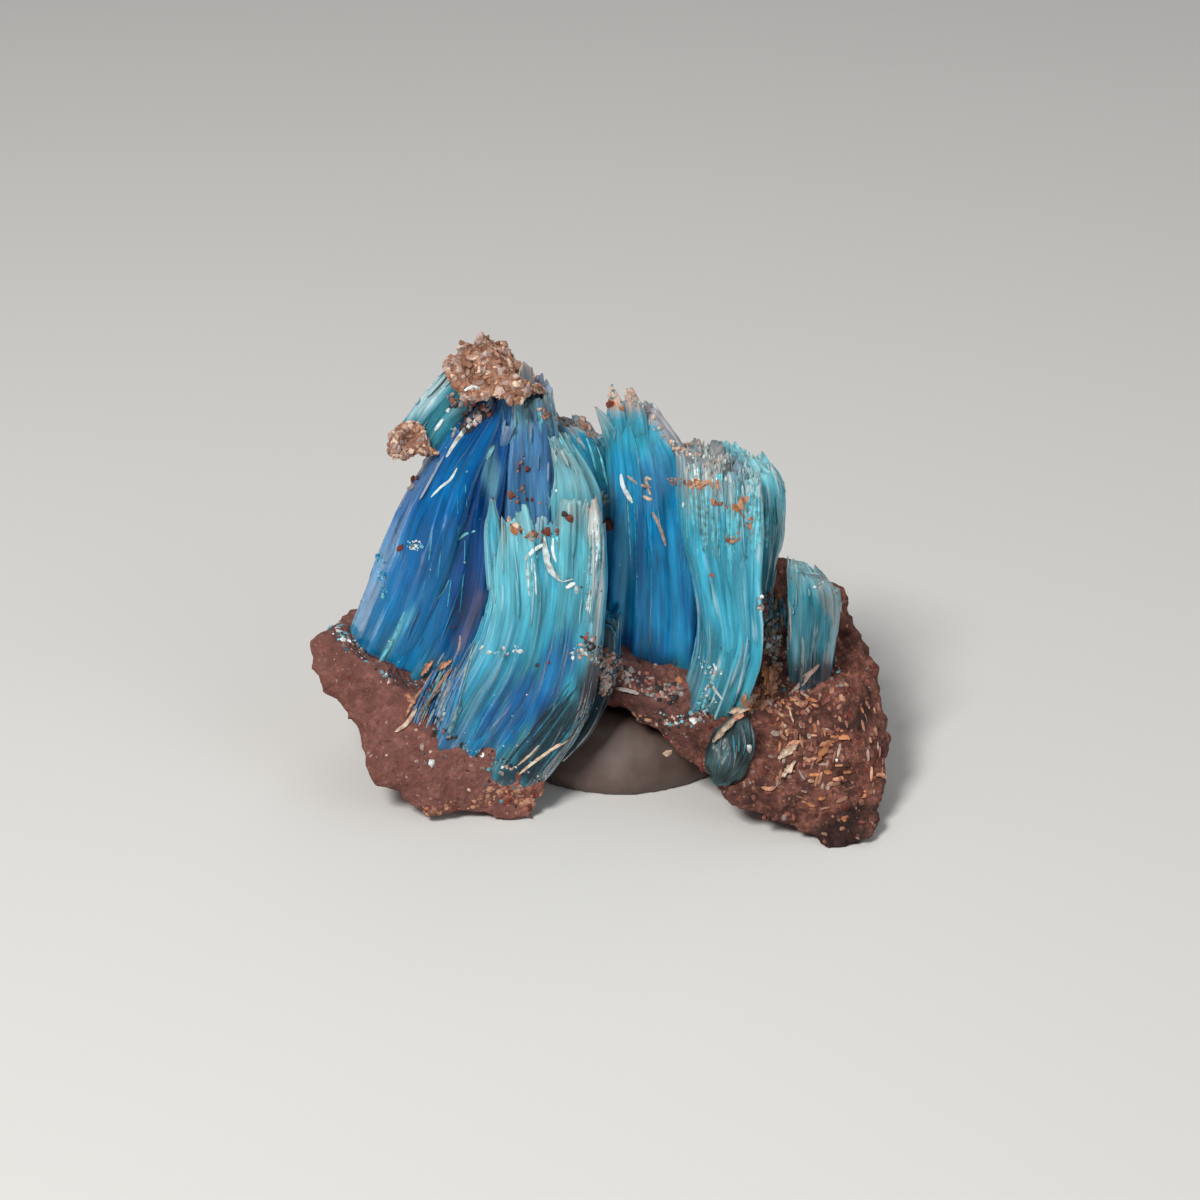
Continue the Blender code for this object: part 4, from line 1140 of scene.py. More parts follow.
@dataclass(frozen=True)
class PuttyFinish:
    """Smooth grey-beige putty with faint dust and dents; its colours are darkened as painted shade from the specimen
    above it.
    """

    name: str = "putty_finish"
    # Painted shade: base and dusty are much darker than the putty's own grey-beige, for the shade under the specimen.
    base: Colour = (0.096, 0.062, 0.050)
    dusty: Colour = (0.130, 0.090, 0.076)

    def material(self) -> bpy.types.Material:
        """The putty's material."""
        nodes = Nodes(self.name)
        place = nodes.add("ShaderNodeTexCoord").outputs["Object"]
        dust = nodes.noise(place, 900.0, 6.0)
        dents = nodes.noise(place, 420.0, 2.0)
        nodes.wire(nodes.mix(nodes.span(dust, 0.4, 0.7, 0.0, 1.0), self.base, self.dusty), nodes.shader.inputs["Base Color"])
        nodes.wire(nodes.span(dust, 0.3, 0.7, 0.48, 0.66), nodes.shader.inputs["Roughness"])
        nodes.put(Subsurface_Weight=0.12, Subsurface_Scale=0.8 * MM)
        nodes.bump(nodes.math("ADD", dents, nodes.math("MULTIPLY", dust, 0.15)), 0.4, 0.25)
        return nodes.material


def dress(obj: bpy.types.Object, material: bpy.types.Material, slot: str, *replaced: str) -> None:
    """Gives a piece its material, ties it to the body, and hides the solids that it takes the place of.

    Args:
        obj: the piece.
        material: its material.
        slot: the name of that finish's slot; not used.
        replaced: the solids that it takes the place of.
    """
    obj.data.materials.clear()
    obj.data.materials.append(material)
    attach(obj, BODY)
    if replaced:
        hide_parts(*replaced)
    LOG.info("%s: %d faces", obj.name, len(obj.data.polygons))


@dataclass
class CrystalGroup:
    """Bundles that make one piece, and the thin blades on them that make another."""

    name: str
    bundles: tuple[Bundle, ...]

    def bodies(self) -> bpy.types.Object:
        """The piece with the bundles' bodies."""
        out = Skin()
        for bundle in self.bundles:
            bundle.add_core(out)
        return out.piece(self.name)

    def strips(self) -> bpy.types.Object:
        """The piece with the blades and splinters."""
        out = Skin()
        for bundle in self.bundles:
            bundle.add_blades(out)
        return out.piece(f"{self.name}_blades")


def fine_copy(node: str, grain: float) -> tuple[np.ndarray, np.ndarray, np.ndarray]:
    """A solid's surface as a fine even net of quads.

    Args:
        node: the solid.
        grain: the net's spacing in millimetres.

    Returns:
        Its points and normals in millimetres, and its quads as rows of indices.
    """
    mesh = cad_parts[node].data.copy()
    net = bmesh.new()
    net.from_mesh(mesh)
    bmesh.ops.remove_doubles(net, verts=net.verts, dist=0.001 * MM)
    bmesh.ops.scale(net, vec=(1 / MM,) * 3, verts=net.verts)
    net.to_mesh(mesh)
    net.free()
    helper = bpy.data.objects.new(f"{node}_net", mesh)
    bpy.context.scene.collection.objects.link(helper)
    fuse = helper.modifiers.new("net", "REMESH")
    fuse.mode = "VOXEL"
    fuse.voxel_size = grain
    made = bpy.data.meshes.new_from_object(helper.evaluated_get(bpy.context.evaluated_depsgraph_get()))
    bpy.data.objects.remove(helper)
    count = len(made.vertices)
    points, normals = np.empty(count * 3, np.float32), np.empty(count * 3, np.float32)
    made.vertices.foreach_get("co", points)
    made.vertex_normals.foreach_get("vector", normals)
    corners = np.empty(len(made.loops), np.int32)
    made.loops.foreach_get("vertex_index", corners)
    return (
        points.reshape(-1, 3).astype(float),
        normals.reshape(-1, 3).astype(float),
        corners.reshape(-1, 4).astype(int),
    )


@dataclass
class HostRock:
    """The host rock: the solid's surface, netted finely and broken up by noise of several sizes."""

    grain: float = 0.17
    left_relief: float = 0.55
    split: float = 3.0

    def build(self) -> bpy.types.Object:
        """The rock's piece. Each point moves along its normal by lumps and ridges of 0.25 to 2.4 mm."""
        points, normals, quads = fine_copy("host_rock", self.grain)
        coarse = ease(self.split, self.split + 4.0, points[:, 0])
        strength = self.left_relief + (1.4 - self.left_relief) * coarse
        crags = 1.0 - np.abs(lumps(points, 2.4, 71))
        move = 0.22 * (crags - 0.6) + 0.16 * lumps(points, 0.9, 72) * strength
        move += 0.11 * lumps(points, 0.42, 73) * strength + 0.05 * lumps(points, 0.25, 74)
        move += 0.16 * (0.4 - np.abs(lumps(points, 1.3, 76))) * coarse
        pits = ease(0.45, 0.75, lumps(points, 0.8, 75))
        move -= 0.22 * pits * (0.25 + 0.75 * coarse)
        points = points + normals * move[:, None]
        points[:, 2] = np.maximum(points[:, 2], 0.0)
        tint = np.ones((len(points), 4))
        # Painted shade: the tint darkens where points have sunk into hollows, more on the coarse right lobe.
        tint[:, :3] -= (0.6 * np.clip(-move / 0.35, 0.0, 1.0) * (0.3 + 0.7 * coarse))[:, None]
        out = Skin()
        out.add(points, quads, np.empty((0, 3), int), tint)
        return out.piece("host_rock_surface")


@dataclass
class Putty:
    """The putty pad: the solid's surface, smoothed and dented by fingers."""

    grain: float = 0.22

    def build(self) -> bpy.types.Object:
        """The pad's piece. Points move along their normals by soft dents; the underside stays flat."""
        points, normals, quads = fine_copy("putty_pad", self.grain)
        neighbours = np.concatenate([quads[:, [0, 1]], quads[:, [1, 2]], quads[:, [2, 3]], quads[:, [3, 0]]])
        share = np.bincount(neighbours[:, 0], minlength=len(points))[:, None]
        flat = points[:, 2] < 0.05
        for _ in range(12):
            total = np.stack(
                [np.bincount(neighbours[:, 0], points[neighbours[:, 1], axis], len(points)) for axis in range(3)],
                axis=-1,
            )
            eased = 0.5 * points + 0.5 * total / share
            points = np.where(flat[:, None], points, eased)
        dents = 0.10 * lumps(points, 2.6, 81) + 0.03 * lumps(points, 0.9, 82)
        points = points + normals * np.where(flat, 0.0, dents)[:, None]
        points[:, 2] = np.maximum(points[:, 2], 0.0)
        out = Skin()
        out.add(points, quads, np.empty((0, 3), int), np.ones((len(points), 4)))
        return out.piece("putty_pad_surface")


def crumb_shape() -> tuple[np.ndarray, np.ndarray]:
    """A plain ball of 12 corners and 20 flat faces, whose corners each grain moves in its own way.

    Returns:
        Its points at radius one, and its triangles.
    """
    ball = bmesh.new()
    bmesh.ops.create_icosphere(ball, subdivisions=1, radius=1.0)
    points = np.array([v.co[:] for v in ball.verts])
    triangles = np.array([[v.index for v in f.verts] for f in ball.faces])
    ball.free()
    return points, triangles


@dataclass
class Crumbs:
    """Many small faceted grains that share one piece.

    Attributes:
        name: the piece's name.
    """

    name: str
    skin: Skin = field(default_factory=Skin)

    def scatter(
        self,
        places: np.ndarray,
        ups: np.ndarray,
        sizes: np.ndarray,
        colours: np.ndarray,
        seed: int,
        flat: float = 0.6,
        sink: float = 0.3,
    ) -> None:
        """Adds one grain at each place: a ball whose corners move in and out, squashed along its up.

        Args:
            places: where they sit.
            ups: the directions that they are squashed along.
            sizes: their half sizes.
            colours: their colours.
            seed: fixes their shapes.
            flat: share of the size that is left along up.
            sink: share of the size that is under the surface.
        """
        ball, triangles = crumb_shape()
        n, m = len(places), len(ball)
        if n == 0:
            return
        key = np.arange(n)
        bulge = 0.62 + 0.62 * hash01(key[:, None], np.arange(m)[None], seed)
        long = 0.75 + 0.75 * hash01(key, seed, 1)
        other = unit(np.stack([hash01(key, seed, 2), hash01(key, seed, 3), hash01(key, seed, 4)], axis=-1) - 0.5)
        side = unit(np.cross(ups, other))
        front = np.cross(side, ups)
        local = ball[None] * bulge[..., None]
        shape = (
            side[:, None] * (local[..., 0] * long[:, None])[..., None]
            + front[:, None] * local[..., 1][..., None]
            + ups[:, None] * (local[..., 2] * flat)[..., None]
        )
        points = places[:, None] + shape * sizes[:, None, None] - ups[:, None] * (sizes * sink)[:, None, None]
        faces = (triangles[None] + (key * m)[:, None, None]).reshape(-1, 3)
        tone = colours * (0.75 + 0.5 * hash01(key, seed, 5))[:, None]
        tint = np.repeat(np.concatenate([tone, np.ones((n, 1))], axis=1), m, axis=0)
        self.skin.add(points.reshape(-1, 3), np.empty((0, 4), int), faces, tint)

    def piece(self) -> bpy.types.Object:
        """All the grains as one object with flat faces."""
        return self.skin.piece(self.name, smooth=False)


def pick_places(
    points: np.ndarray, normals: np.ndarray, weight: np.ndarray, count: int, seed: int
) -> tuple[np.ndarray, np.ndarray]:
    """Places drawn from a surface's points, in proportion to a weight.

    Args:
        points, normals: the surface's points and their normals.
        weight: how likely each point is.
        count: how many to draw.
        seed: fixes the draw.

    Returns:
        The drawn points and their normals.
    """
    total = np.cumsum(weight)
    chosen = np.searchsorted(total, hash01(np.arange(count), seed, 60) * total[-1])
    return points[chosen], normals[chosen]


def near(points: np.ndarray, others: np.ndarray, cell: float) -> np.ndarray:
    """Which points share a cubic cell, or a neighbouring one, with any of the others.

    Args:
        points, others: places in millimetres.
        cell: the cells' size.

    Returns:
        True or False for each point.
    """

    def keys(cells: np.ndarray) -> np.ndarray:
        """One whole number for each cell."""
        moved = cells + 512
        return (moved[..., 0] * 1024 + moved[..., 1]) * 1024 + moved[..., 2]

    steps = np.stack(np.meshgrid(*([np.arange(-1, 2)] * 3), indexing="ij"), axis=-1).reshape(-1, 3)
    taken = np.unique(keys(np.floor(others / cell).astype(int)[:, None] + steps))
    return np.isin(keys(np.floor(points / cell).astype(int)), taken)


def palette(shades: tuple[Shade, ...], count: int, seed: int) -> np.ndarray:
    """One colour for each of count grains, drawn evenly from the shades."""
    table = np.array([shade.value for shade in shades])
    return table[(hash01(np.arange(count), seed, 61) * len(table)).astype(int)]


def surface_of(obj: bpy.types.Object) -> tuple[np.ndarray, np.ndarray]:
    """A piece's points and normals in millimetres."""
    mesh = obj.data
    points, normals = np.empty(len(mesh.vertices) * 3, np.float32), np.empty(len(mesh.vertices) * 3, np.float32)
    mesh.vertices.foreach_get("co", points)
    mesh.vertex_normals.foreach_get("vector", normals)
    return points.reshape(-1, 3).astype(float) / MM, normals.reshape(-1, 3).astype(float)


@dataclass
class Crust:
    """A crumbly crust: the solid's lump, roughened, under a layer of flakes."""

    node: str
    flakes: int
    sizes: tuple[float, float]
    shades: tuple[Shade, ...]
    grain: float = 0.16

    def build(self) -> bpy.types.Object:
        """The crust's piece: a lump moved by 0.7 and 0.3 mm noise, with flakes set all over it."""
        points, normals, quads = fine_copy(self.node, self.grain)
        move = 0.16 * lumps(points, 0.7, 91) + 0.08 * lumps(points, 0.3, 92) - 0.22
        lump = points + normals * move[:, None]
        crumbs = Crumbs(f"{self.node}_crumbs")
        tone = blend(self.shades[0].rgb, self.shades[-1].rgb, 0.5 + 0.5 * lumps(points, 0.8, 93))
        tint = np.concatenate([tone * 0.8, np.ones((len(points), 1))], axis=1)
        crumbs.skin.add(lump, quads, np.empty((0, 3), int), tint)
        places, ups = pick_places(lump, normals, np.ones(len(lump)), self.flakes, 94)
        key = np.arange(self.flakes)
        sizes = self.sizes[0] + (self.sizes[1] - self.sizes[0]) * hash01(key, 95) ** 2
        lean = unit(ups + 1.1 * (np.stack([hash01(key, s) for s in (96, 97, 98)], axis=-1) - 0.5))
        crumbs.scatter(places, lean, sizes, palette(self.shades, self.flakes, 99), 100, flat=0.55, sink=0.1)
        return crumbs.piece()


@dataclass(frozen=True)
class View:
    """The camera's place, which also turns a point of the 1200-pixel picture into a ray.

    Attributes:
        elevation: degrees above the horizon.
        lens, sensor: focal length and sensor width in millimetres.
        target: the point in the picture's middle.
        distance: from the camera to the target.
        picture: the picture's width and height in pixels.
    """

    elevation: float = 28.0
    lens: float = 85.0
    sensor: float = 36.0
    target: tuple[float, float, float] = (-1.16, 0.0, 8.76)
    distance: float = 164.6
    picture: int = 1200

    @property
    def forward(self) -> np.ndarray:
        """The direction of sight."""
        tilt = math.radians(self.elevation)
        return np.array([0.0, math.cos(tilt), -math.sin(tilt)])

    @property
    def place(self) -> np.ndarray:
        """The camera's place in millimetres."""
        return np.array(self.target) - self.forward * self.distance

    def ray(self, across: float, down: float) -> np.ndarray:
        """The direction of sight through a pixel."""
        tilt = math.radians(self.elevation)
        upward = np.array([0.0, math.sin(tilt), math.cos(tilt)])
        scale = self.sensor / self.lens / self.picture
        middle = self.picture / 2
        sideways = np.array([1.0, 0.0, 0.0]) * (across - middle) * scale
        return unit(self.forward + sideways + upward * (middle - down) * scale)

    def camera(self) -> bpy.types.Object:
        """Makes the scene's camera."""
        data = bpy.data.cameras.new("camera")
        data.lens, data.sensor_width = self.lens, self.sensor
        data.clip_start, data.clip_end = 0.005, 10.0
        obj = bpy.data.objects.new("camera", data)
        obj.location = Vector(self.place * MM)
        obj.rotation_mode = "QUATERNION"
        obj.rotation_quaternion = Vector(self.forward).to_track_quat("-Z", "Y")
        bpy.context.scene.collection.objects.link(obj)
        bpy.context.scene.camera = obj
        return obj


class Touch:
    """Finds where a ray through the picture meets the specimen."""

    def __init__(self, view: View, carriers: list[bpy.types.Object]) -> None:
        """Indexes the pieces that can carry something.

        Args:
            view: the camera's place.
            carriers: the pieces.
        """
        self.view = view
        points, faces, base = [], [], 0
        for obj in carriers:
            mesh = obj.data
            points += [v.co[:] for v in mesh.vertices]
            faces += [[i + base for i in p.vertices] for p in mesh.polygons]
            base += len(mesh.vertices)
        self.tree = BVHTree.FromPolygons(points, faces)

    def at(self, across: float, down: float) -> tuple[np.ndarray, np.ndarray] | None:
        """The first place under a pixel.

        Args:
            across, down: the pixel.

        Returns:
            The place in millimetres and the surface's normal there, or None where nothing is.
        """
        start = Vector(self.view.place * MM)
        hit, normal, _, _ = self.tree.ray_cast(start, Vector(self.view.ray(across, down)))
        if hit is None:
            return None
        return np.array(hit) / MM, np.array(normal)


@dataclass(frozen=True)
class Speck:
    """A single grain or flake that the picture shows.

    Attributes:
        pixel: its middle in the picture.
        size: its half size in millimetres.
        shade: its colour.
        flat: share of its size that is left across the surface.
    """

    pixel: tuple[float, float]
    size: float
    shade: Shade
    flat: float = 0.6


@dataclass(frozen=True)
class Curl:
    """A loose fibre that the picture shows.

    Attributes:
        pixels: points along it in the picture.
        width: its width in millimetres.
        shade: its colour.
        lift: how far it stands off what carries it.
    """

    pixels: tuple[tuple[float, float], ...]
    width: float
    shade: Shade
    lift: float = 0.08


SPECKS = (
    Speck((527, 469), 0.20, Shade.RUST),
    Speck((511, 495), 0.30, Shade.BRICK, 0.4),
    Speck((569, 518), 0.24, Shade.RUST, 0.7),
    Speck((565, 514), 0.20, Shade.SOOT, 0.7),
    Speck((574, 516), 0.18, Shade.BRICK, 0.7),
    Speck((610, 524), 0.42, Shade.RUST, 0.8),
    Speck((517, 525), 0.30, Shade.CREAM, 0.7),
    Speck((514, 530), 0.24, Shade.ORANGE, 0.7),
    Speck((510, 520), 0.20, Shade.CREAM, 0.7),
    Speck((534, 533), 0.22, Shade.BRICK),
    Speck((548, 532), 0.26, Shade.RUST, 0.8),
    Speck((583, 419), 0.22, Shade.PINK_TAN),
    Speck((697, 483), 0.24, Shade.ORANGE, 0.3),
    Speck((741, 504), 0.34, Shade.TAN, 0.3),
    Speck((736, 508), 0.26, Shade.ORANGE, 0.3),
    Speck((745, 500), 0.22, Shade.TAN, 0.3),
    Speck((728, 540), 0.18, Shade.BRICK, 0.4),
    Speck((679, 680), 0.30, Shade.ORANGE, 0.6),
    Speck((432, 763), 0.24, Shade.WHITE, 0.8),
    Speck((750, 748), 0.24, Shade.WHITE, 0.8),
    Speck((785, 726), 0.14, Shade.CREAM, 0.8),
    Speck((828, 731), 0.14, Shade.CREAM, 0.8),
    Speck((837, 760), 0.12, Shade.WHITE, 0.8),
    Speck((768, 746), 0.16, Shade.TAN, 0.5),
    Speck((864, 794), 0.20, Shade.ORANGE, 0.5),
    Speck((844, 819), 0.22, Shade.ORANGE, 0.5),
    Speck((318, 678), 0.20, Shade.CREAM, 0.7),
    Speck((469, 790), 0.14, Shade.CREAM, 0.7),
    Speck((416, 730), 0.12, Shade.CREAM, 0.7),
    Speck((501, 773), 0.22, Shade.GREY, 0.6),
    Speck((668, 753), 0.24, Shade.CREAM, 0.6),
    Speck((600, 560), 0.14, Shade.SOOT),
    Speck((537, 665), 0.16, Shade.SOOT),
    Speck((549, 662), 0.12, Shade.RUST),
    Speck((400, 548), 0.20, Shade.RUST),
    Speck((610, 404), 0.22, Shade.RUST, 0.4),
    Speck((622, 408), 0.18, Shade.ORANGE, 0.5),
    Speck((684, 505), 0.14, Shade.WHITE),
    Speck((712, 575), 0.16, Shade.BRICK),
    Speck((448, 410), 0.14, Shade.WHITE),
)

CURLS = (
    Curl(((461, 403), (464, 392), (471, 387), (480, 389), (487, 401)), 0.20, Shade.WHITE),
    Curl(((479, 417), (470, 425), (461, 434), (453, 446), (446, 457)), 0.26, Shade.WHITE),
    Curl(((457, 468), (450, 480), (441, 487), (431, 497)), 0.16, Shade.WHITE),
    Curl(((443, 419), (439, 425), (435, 431)), 0.20, Shade.WHITE),
    Curl(((544, 545), (535, 551), (523, 561)), 0.24, Shade.WHITE, 0.4),
    Curl(((544, 538), (546, 551), (549, 566), (558, 579), (572, 580)), 0.44, Shade.WHITE, 0.4),
    Curl(((627, 476), (633, 481), (642, 485), (651, 488)), 0.18, Shade.PINK_TAN, 0.2),
    Curl(((644, 496), (648, 499), (652, 500)), 0.22, Shade.CREAM, 0.2),
    Curl(((554, 524), (557, 538), (559, 552)), 0.16, Shade.PALE, 0.3),
    Curl(((724, 534), (729, 541), (736, 541), (745, 534)), 0.20, Shade.TAN, 0.2),
    Curl(((682, 481), (694, 483), (704, 482)), 0.26, Shade.CREAM, 0.2),
    Curl(((700, 485), (709, 481), (716, 483)), 0.24, Shade.TAN, 0.2),
    Curl(((458, 541), (466, 534), (477, 531)), 0.16, Shade.PALE, 0.15),
    Curl(((713, 742), (721, 734), (730, 725), (737, 714)), 0.44, Shade.CREAM, 0.2),
    Curl(((732, 712), (741, 710), (750, 702), (757, 697)), 0.62, Shade.CREAM, 0.25),
    Curl(((742, 695), (746, 703), (752, 711)), 0.42, Shade.PEACH, 0.3),
    Curl(((728, 724), (736, 718), (743, 716)), 0.36, Shade.PEACH, 0.2),
    Curl(((763, 668), (766, 678), (769, 690)), 0.62, Shade.ORANGE, 0.2),
    Curl(((771, 668), (771, 680), (766, 692)), 0.44, Shade.PEACH, 0.3),
    Curl(((778, 757), (786, 753), (797, 746)), 0.50, Shade.CREAM, 0.12),
    Curl(((786, 750), (792, 744), (800, 742)), 0.30, Shade.PEACH, 0.12),
    Curl(((781, 776), (787, 771), (794, 765)), 0.50, Shade.CREAM, 0.12),
    Curl(((803, 758), (809, 761), (817, 758)), 0.24, Shade.PEACH, 0.12),
    Curl(((817, 761), (823, 752), (831, 743)), 0.46, Shade.ORANGE, 0.12),
    Curl(((819, 746), (825, 744), (832, 746)), 0.26, Shade.PEACH, 0.12),
    Curl(((838, 739), (844, 737), (850, 739)), 0.32, Shade.ORANGE, 0.12),
    Curl(((876, 777), (880, 775), (885, 777)), 0.34, Shade.PEACH, 0.12),
    Curl(((780, 733), (783, 737), (787, 741)), 0.20, Shade.TAN, 0.12),
    Curl(((790, 710), (791, 716), (794, 723)), 0.12, Shade.CREAM, 0.15),
    Curl(((800, 735), (801, 742), (803, 748)), 0.14, Shade.TAN, 0.12),
    Curl(((799, 770), (802, 776), (805, 780)), 0.12, Shade.GREY, 0.12),
    Curl(((762, 787), (768, 789), (776, 788)), 0.26, Shade.PEACH, 0.1),
    Curl(((422, 674), (427, 668), (433, 663)), 0.46, Shade.PEACH, 0.2),
    Curl(((440, 670), (445, 665), (450, 661)), 0.42, Shade.PEACH, 0.2),
    Curl(((407, 695), (411, 700), (415, 703)), 0.42, Shade.PEACH, 0.1),
    Curl(((456, 655), (459, 646), (460, 636)), 0.16, Shade.PINK_TAN, 0.2),
    Curl(((437, 600), (444, 590), (449, 580)), 0.10, Shade.PALE, 0.1),
    Curl(((486, 459), (490, 452), (494, 446)), 0.30, Shade.MIST, 0.1),
    Curl(((553, 538), (553, 550), (556, 562)), 0.18, Shade.WHITE),
    Curl(((576, 586), (577, 594)), 0.22, Shade.WHITE),
    Curl(((395, 732), (405, 725), (412, 716), (416, 708)), 0.26, Shade.CREAM),
    Curl(((789, 695), (799, 685), (808, 676), (819, 665)), 0.42, Shade.PINK_TAN),
    Curl(((616, 688), (628, 690), (639, 694)), 0.26, Shade.GREY),
    Curl(((621, 474), (624, 488), (632, 503)), 0.30, Shade.WHITE),
    Curl(((651, 480), (646, 478), (648, 487), (650, 495)), 0.22, Shade.CREAM),
    Curl(((652, 512), (660, 527), (666, 546)), 0.22, Shade.PINK_TAN),
    Curl(((519, 774), (532, 764), (548, 752), (565, 742), (579, 731)), 0.22, Shade.CREAM),
    Curl(((512, 768), (524, 760), (540, 745)), 0.18, Shade.CREAM),
    Curl(((706, 652), (716, 668), (712, 684), (722, 700)), 0.20, Shade.WHITE),
    Curl(((406, 716), (414, 700), (424, 688)), 0.18, Shade.TAN),
    Curl(((418, 718), (427, 702), (440, 690)), 0.20, Shade.GREY),
    Curl(((430, 700), (440, 684), (452, 668)), 0.22, Shade.TAN),
    Curl(((440, 706), (449, 690), (462, 668)), 0.22, Shade.GREY),
    Curl(((380, 662), (394, 638), (404, 612)), 0.20, Shade.PALE),
    Curl(((566, 588), (575, 583)), 0.26, Shade.WHITE),
)


class Ground(Enum):
    """What a line of crumbs lies on."""

    ANY = "any"
    ROCK = "rock"
    CRYSTAL = "crystal"


@dataclass(frozen=True)
class Sheaf:
    """A group of loose fibres between two of its fibres.

    Attributes:
        first, last: points along the outer two fibres in the picture.
        count: how many fibres.
        width: their usual width in millimetres.
        shades: their colours, drawn evenly.
        lift: how far they stand off.
        part: the usual share of the whole length that one fibre takes.
    """

    first: tuple[tuple[float, float], ...]
    last: tuple[tuple[float, float], ...]
    count: int
    width: float
    shades: tuple[Shade, ...]
    lift: float = 0.06
    part: float = 0.5


@dataclass(frozen=True)
class Band:
    """Crumbs along a line in the picture.

    Attributes:
        pixels: points along the line.
        reach: how far from it they lie, in pixels.
        count: how many.
        sizes: their least and greatest half size in millimetres.
        shades: their colours, drawn evenly.
        flat: share of their size that is left across the surface.
        on: what carries them.
    """

    pixels: tuple[tuple[float, float], ...]
    reach: float
    count: int
    sizes: tuple[float, float]
    shades: tuple[Shade, ...]
    flat: float = 0.6
    on: Ground = Ground.ANY


@dataclass(frozen=True)
class StainOrShade:
    """A soft patch of colour on the crystals or the rock. Some are stains of the crystals' own colours; others are
    painted shade, dark patches in crevices and under the rock's lobes.

    Attributes:
        pixel: its middle in the picture.
        reach: its half width, half depth and half height in millimetres.
        shade: its colour.
        strength: how fully it covers.
        frost: how silky the crystal is there, or None where that stays.
        lean: how far its top leans towards +X, in millimetres for each millimetre of height.
    """

    pixel: tuple[float, float]
    reach: tuple[float, float, float]
    shade: Shade
    strength: float = 0.8
    frost: float | None = None
    lean: float = 0.0


SHEAVES = (
    Sheaf(((404, 722), (420, 690), (442, 652)), ((452, 736), (466, 690), (480, 640)), 44, 0.13,
        (Shade.BLUE, Shade.MIST, Shade.PINK_TAN, Shade.TEAL, Shade.VIOLET, Shade.DUSK)),
    Sheaf(((498, 398), (500, 420), (498, 446)), ((550, 398), (556, 422), (560, 448)), 16, 0.11,
        (Shade.MIST, Shade.VIOLET, Shade.MIST, Shade.PALE), part=0.35),
    Sheaf(((686, 462), (688, 472), (690, 484)), ((728, 464), (730, 474), (730, 484)), 26, 0.13,
        (Shade.WHITE, Shade.PALE, Shade.WHITE), 0.22, 0.9),
    Sheaf(((686, 480), (690, 506), (694, 550)), ((762, 474), (758, 516), (752, 580)), 46, 0.12,
        (Shade.PALE, Shade.MIST, Shade.PALE, Shade.CYAN)),
    Sheaf(((519, 556), (521, 576), (523, 598)), ((538, 556), (540, 576), (541, 598)), 9, 0.10,
        (Shade.WHITE, Shade.PALE), 0.12, 0.5),
    Sheaf(((589, 520), (589, 560), (584, 612)), ((604, 512), (603, 570), (596, 636)), 30, 0.13,
        (Shade.WHITE, Shade.PALE, Shade.WHITE, Shade.MIST), 0.22),
    Sheaf(((545, 772), (572, 735), (604, 690)), ((500, 770), (540, 720), (572, 680)), 30, 0.12,
        (Shade.TEAL, Shade.DARK_TEAL, Shade.INK, Shade.DARK_TEAL)),
    Sheaf(((768, 656), (770, 625), (772, 595)), ((792, 656), (792, 625), (790, 600)), 24, 0.12,
        (Shade.TEAL, Shade.GREY, Shade.PINK_TAN, Shade.MIST)),
    Sheaf(((716, 736), (714, 752), (720, 772)), ((750, 722), (754, 744), (744, 768)), 20, 0.07,
        (Shade.TEAL, Shade.DARK_TEAL, Shade.NIGHT, Shade.TEAL), 0.02, 0.4),
    Sheaf(((738, 470), (742, 500), (744, 540)), ((780, 490), (780, 520), (776, 560)), 26, 0.13,
        (Shade.PALE, Shade.MIST, Shade.SEA)),
    Sheaf(((545, 420), (556, 440), (566, 470)), ((598, 440), (604, 460), (610, 490)), 10, 0.12,
        (Shade.SEA, Shade.PALE)),
    Sheaf(((620, 470), (624, 540), (628, 620)), ((700, 500), (700, 560), (694, 640)), 12, 0.07,
        (Shade.CYAN, Shade.SKY, Shade.PALE), part=0.4),
    Sheaf(((372, 560), (384, 520), (400, 480)), ((470, 640), (476, 560), (470, 480)), 12, 0.06,
        (Shade.SKY, Shade.CYAN), part=0.3),
)

FLAKY = (Shade.PEACH, Shade.TAN, Shade.BRICK, Shade.CLAY, Shade.CLAY, Shade.ORANGE, Shade.BRICK, Shade.PINK_TAN)

LITTER = (
    Sheaf(((774, 714), (778, 744), (772, 790)), ((846, 712), (850, 742), (838, 790)), 44, 0.18, FLAKY, 0.10, 0.09),
    Sheaf(((778, 726), (808, 722), (842, 728)), ((788, 800), (820, 812), (856, 800)), 44, 0.18, FLAKY, 0.10, 0.10),
    Sheaf(((852, 700), (866, 740), (868, 800)), ((880, 700), (886, 740), (882, 790)), 18, 0.14, FLAKY, 0.10, 0.08),
    Sheaf(((760, 700), (770, 712), (780, 720)), ((800, 690), (820, 700), (840, 704)), 20, 0.18, FLAKY, 0.10, 0.20),
)

ROCKY = (Shade.BRICK, Shade.RUST, Shade.CLAY, Shade.TAN)
SOOTY = (Shade.SOOT, Shade.GREY, Shade.BRICK, Shade.SOOT, Shade.PINK_TAN)
WARM = (Shade.ORANGE, Shade.TAN, Shade.CLAY)
FROSTY = (Shade.WHITE, Shade.PALE, Shade.MIST)

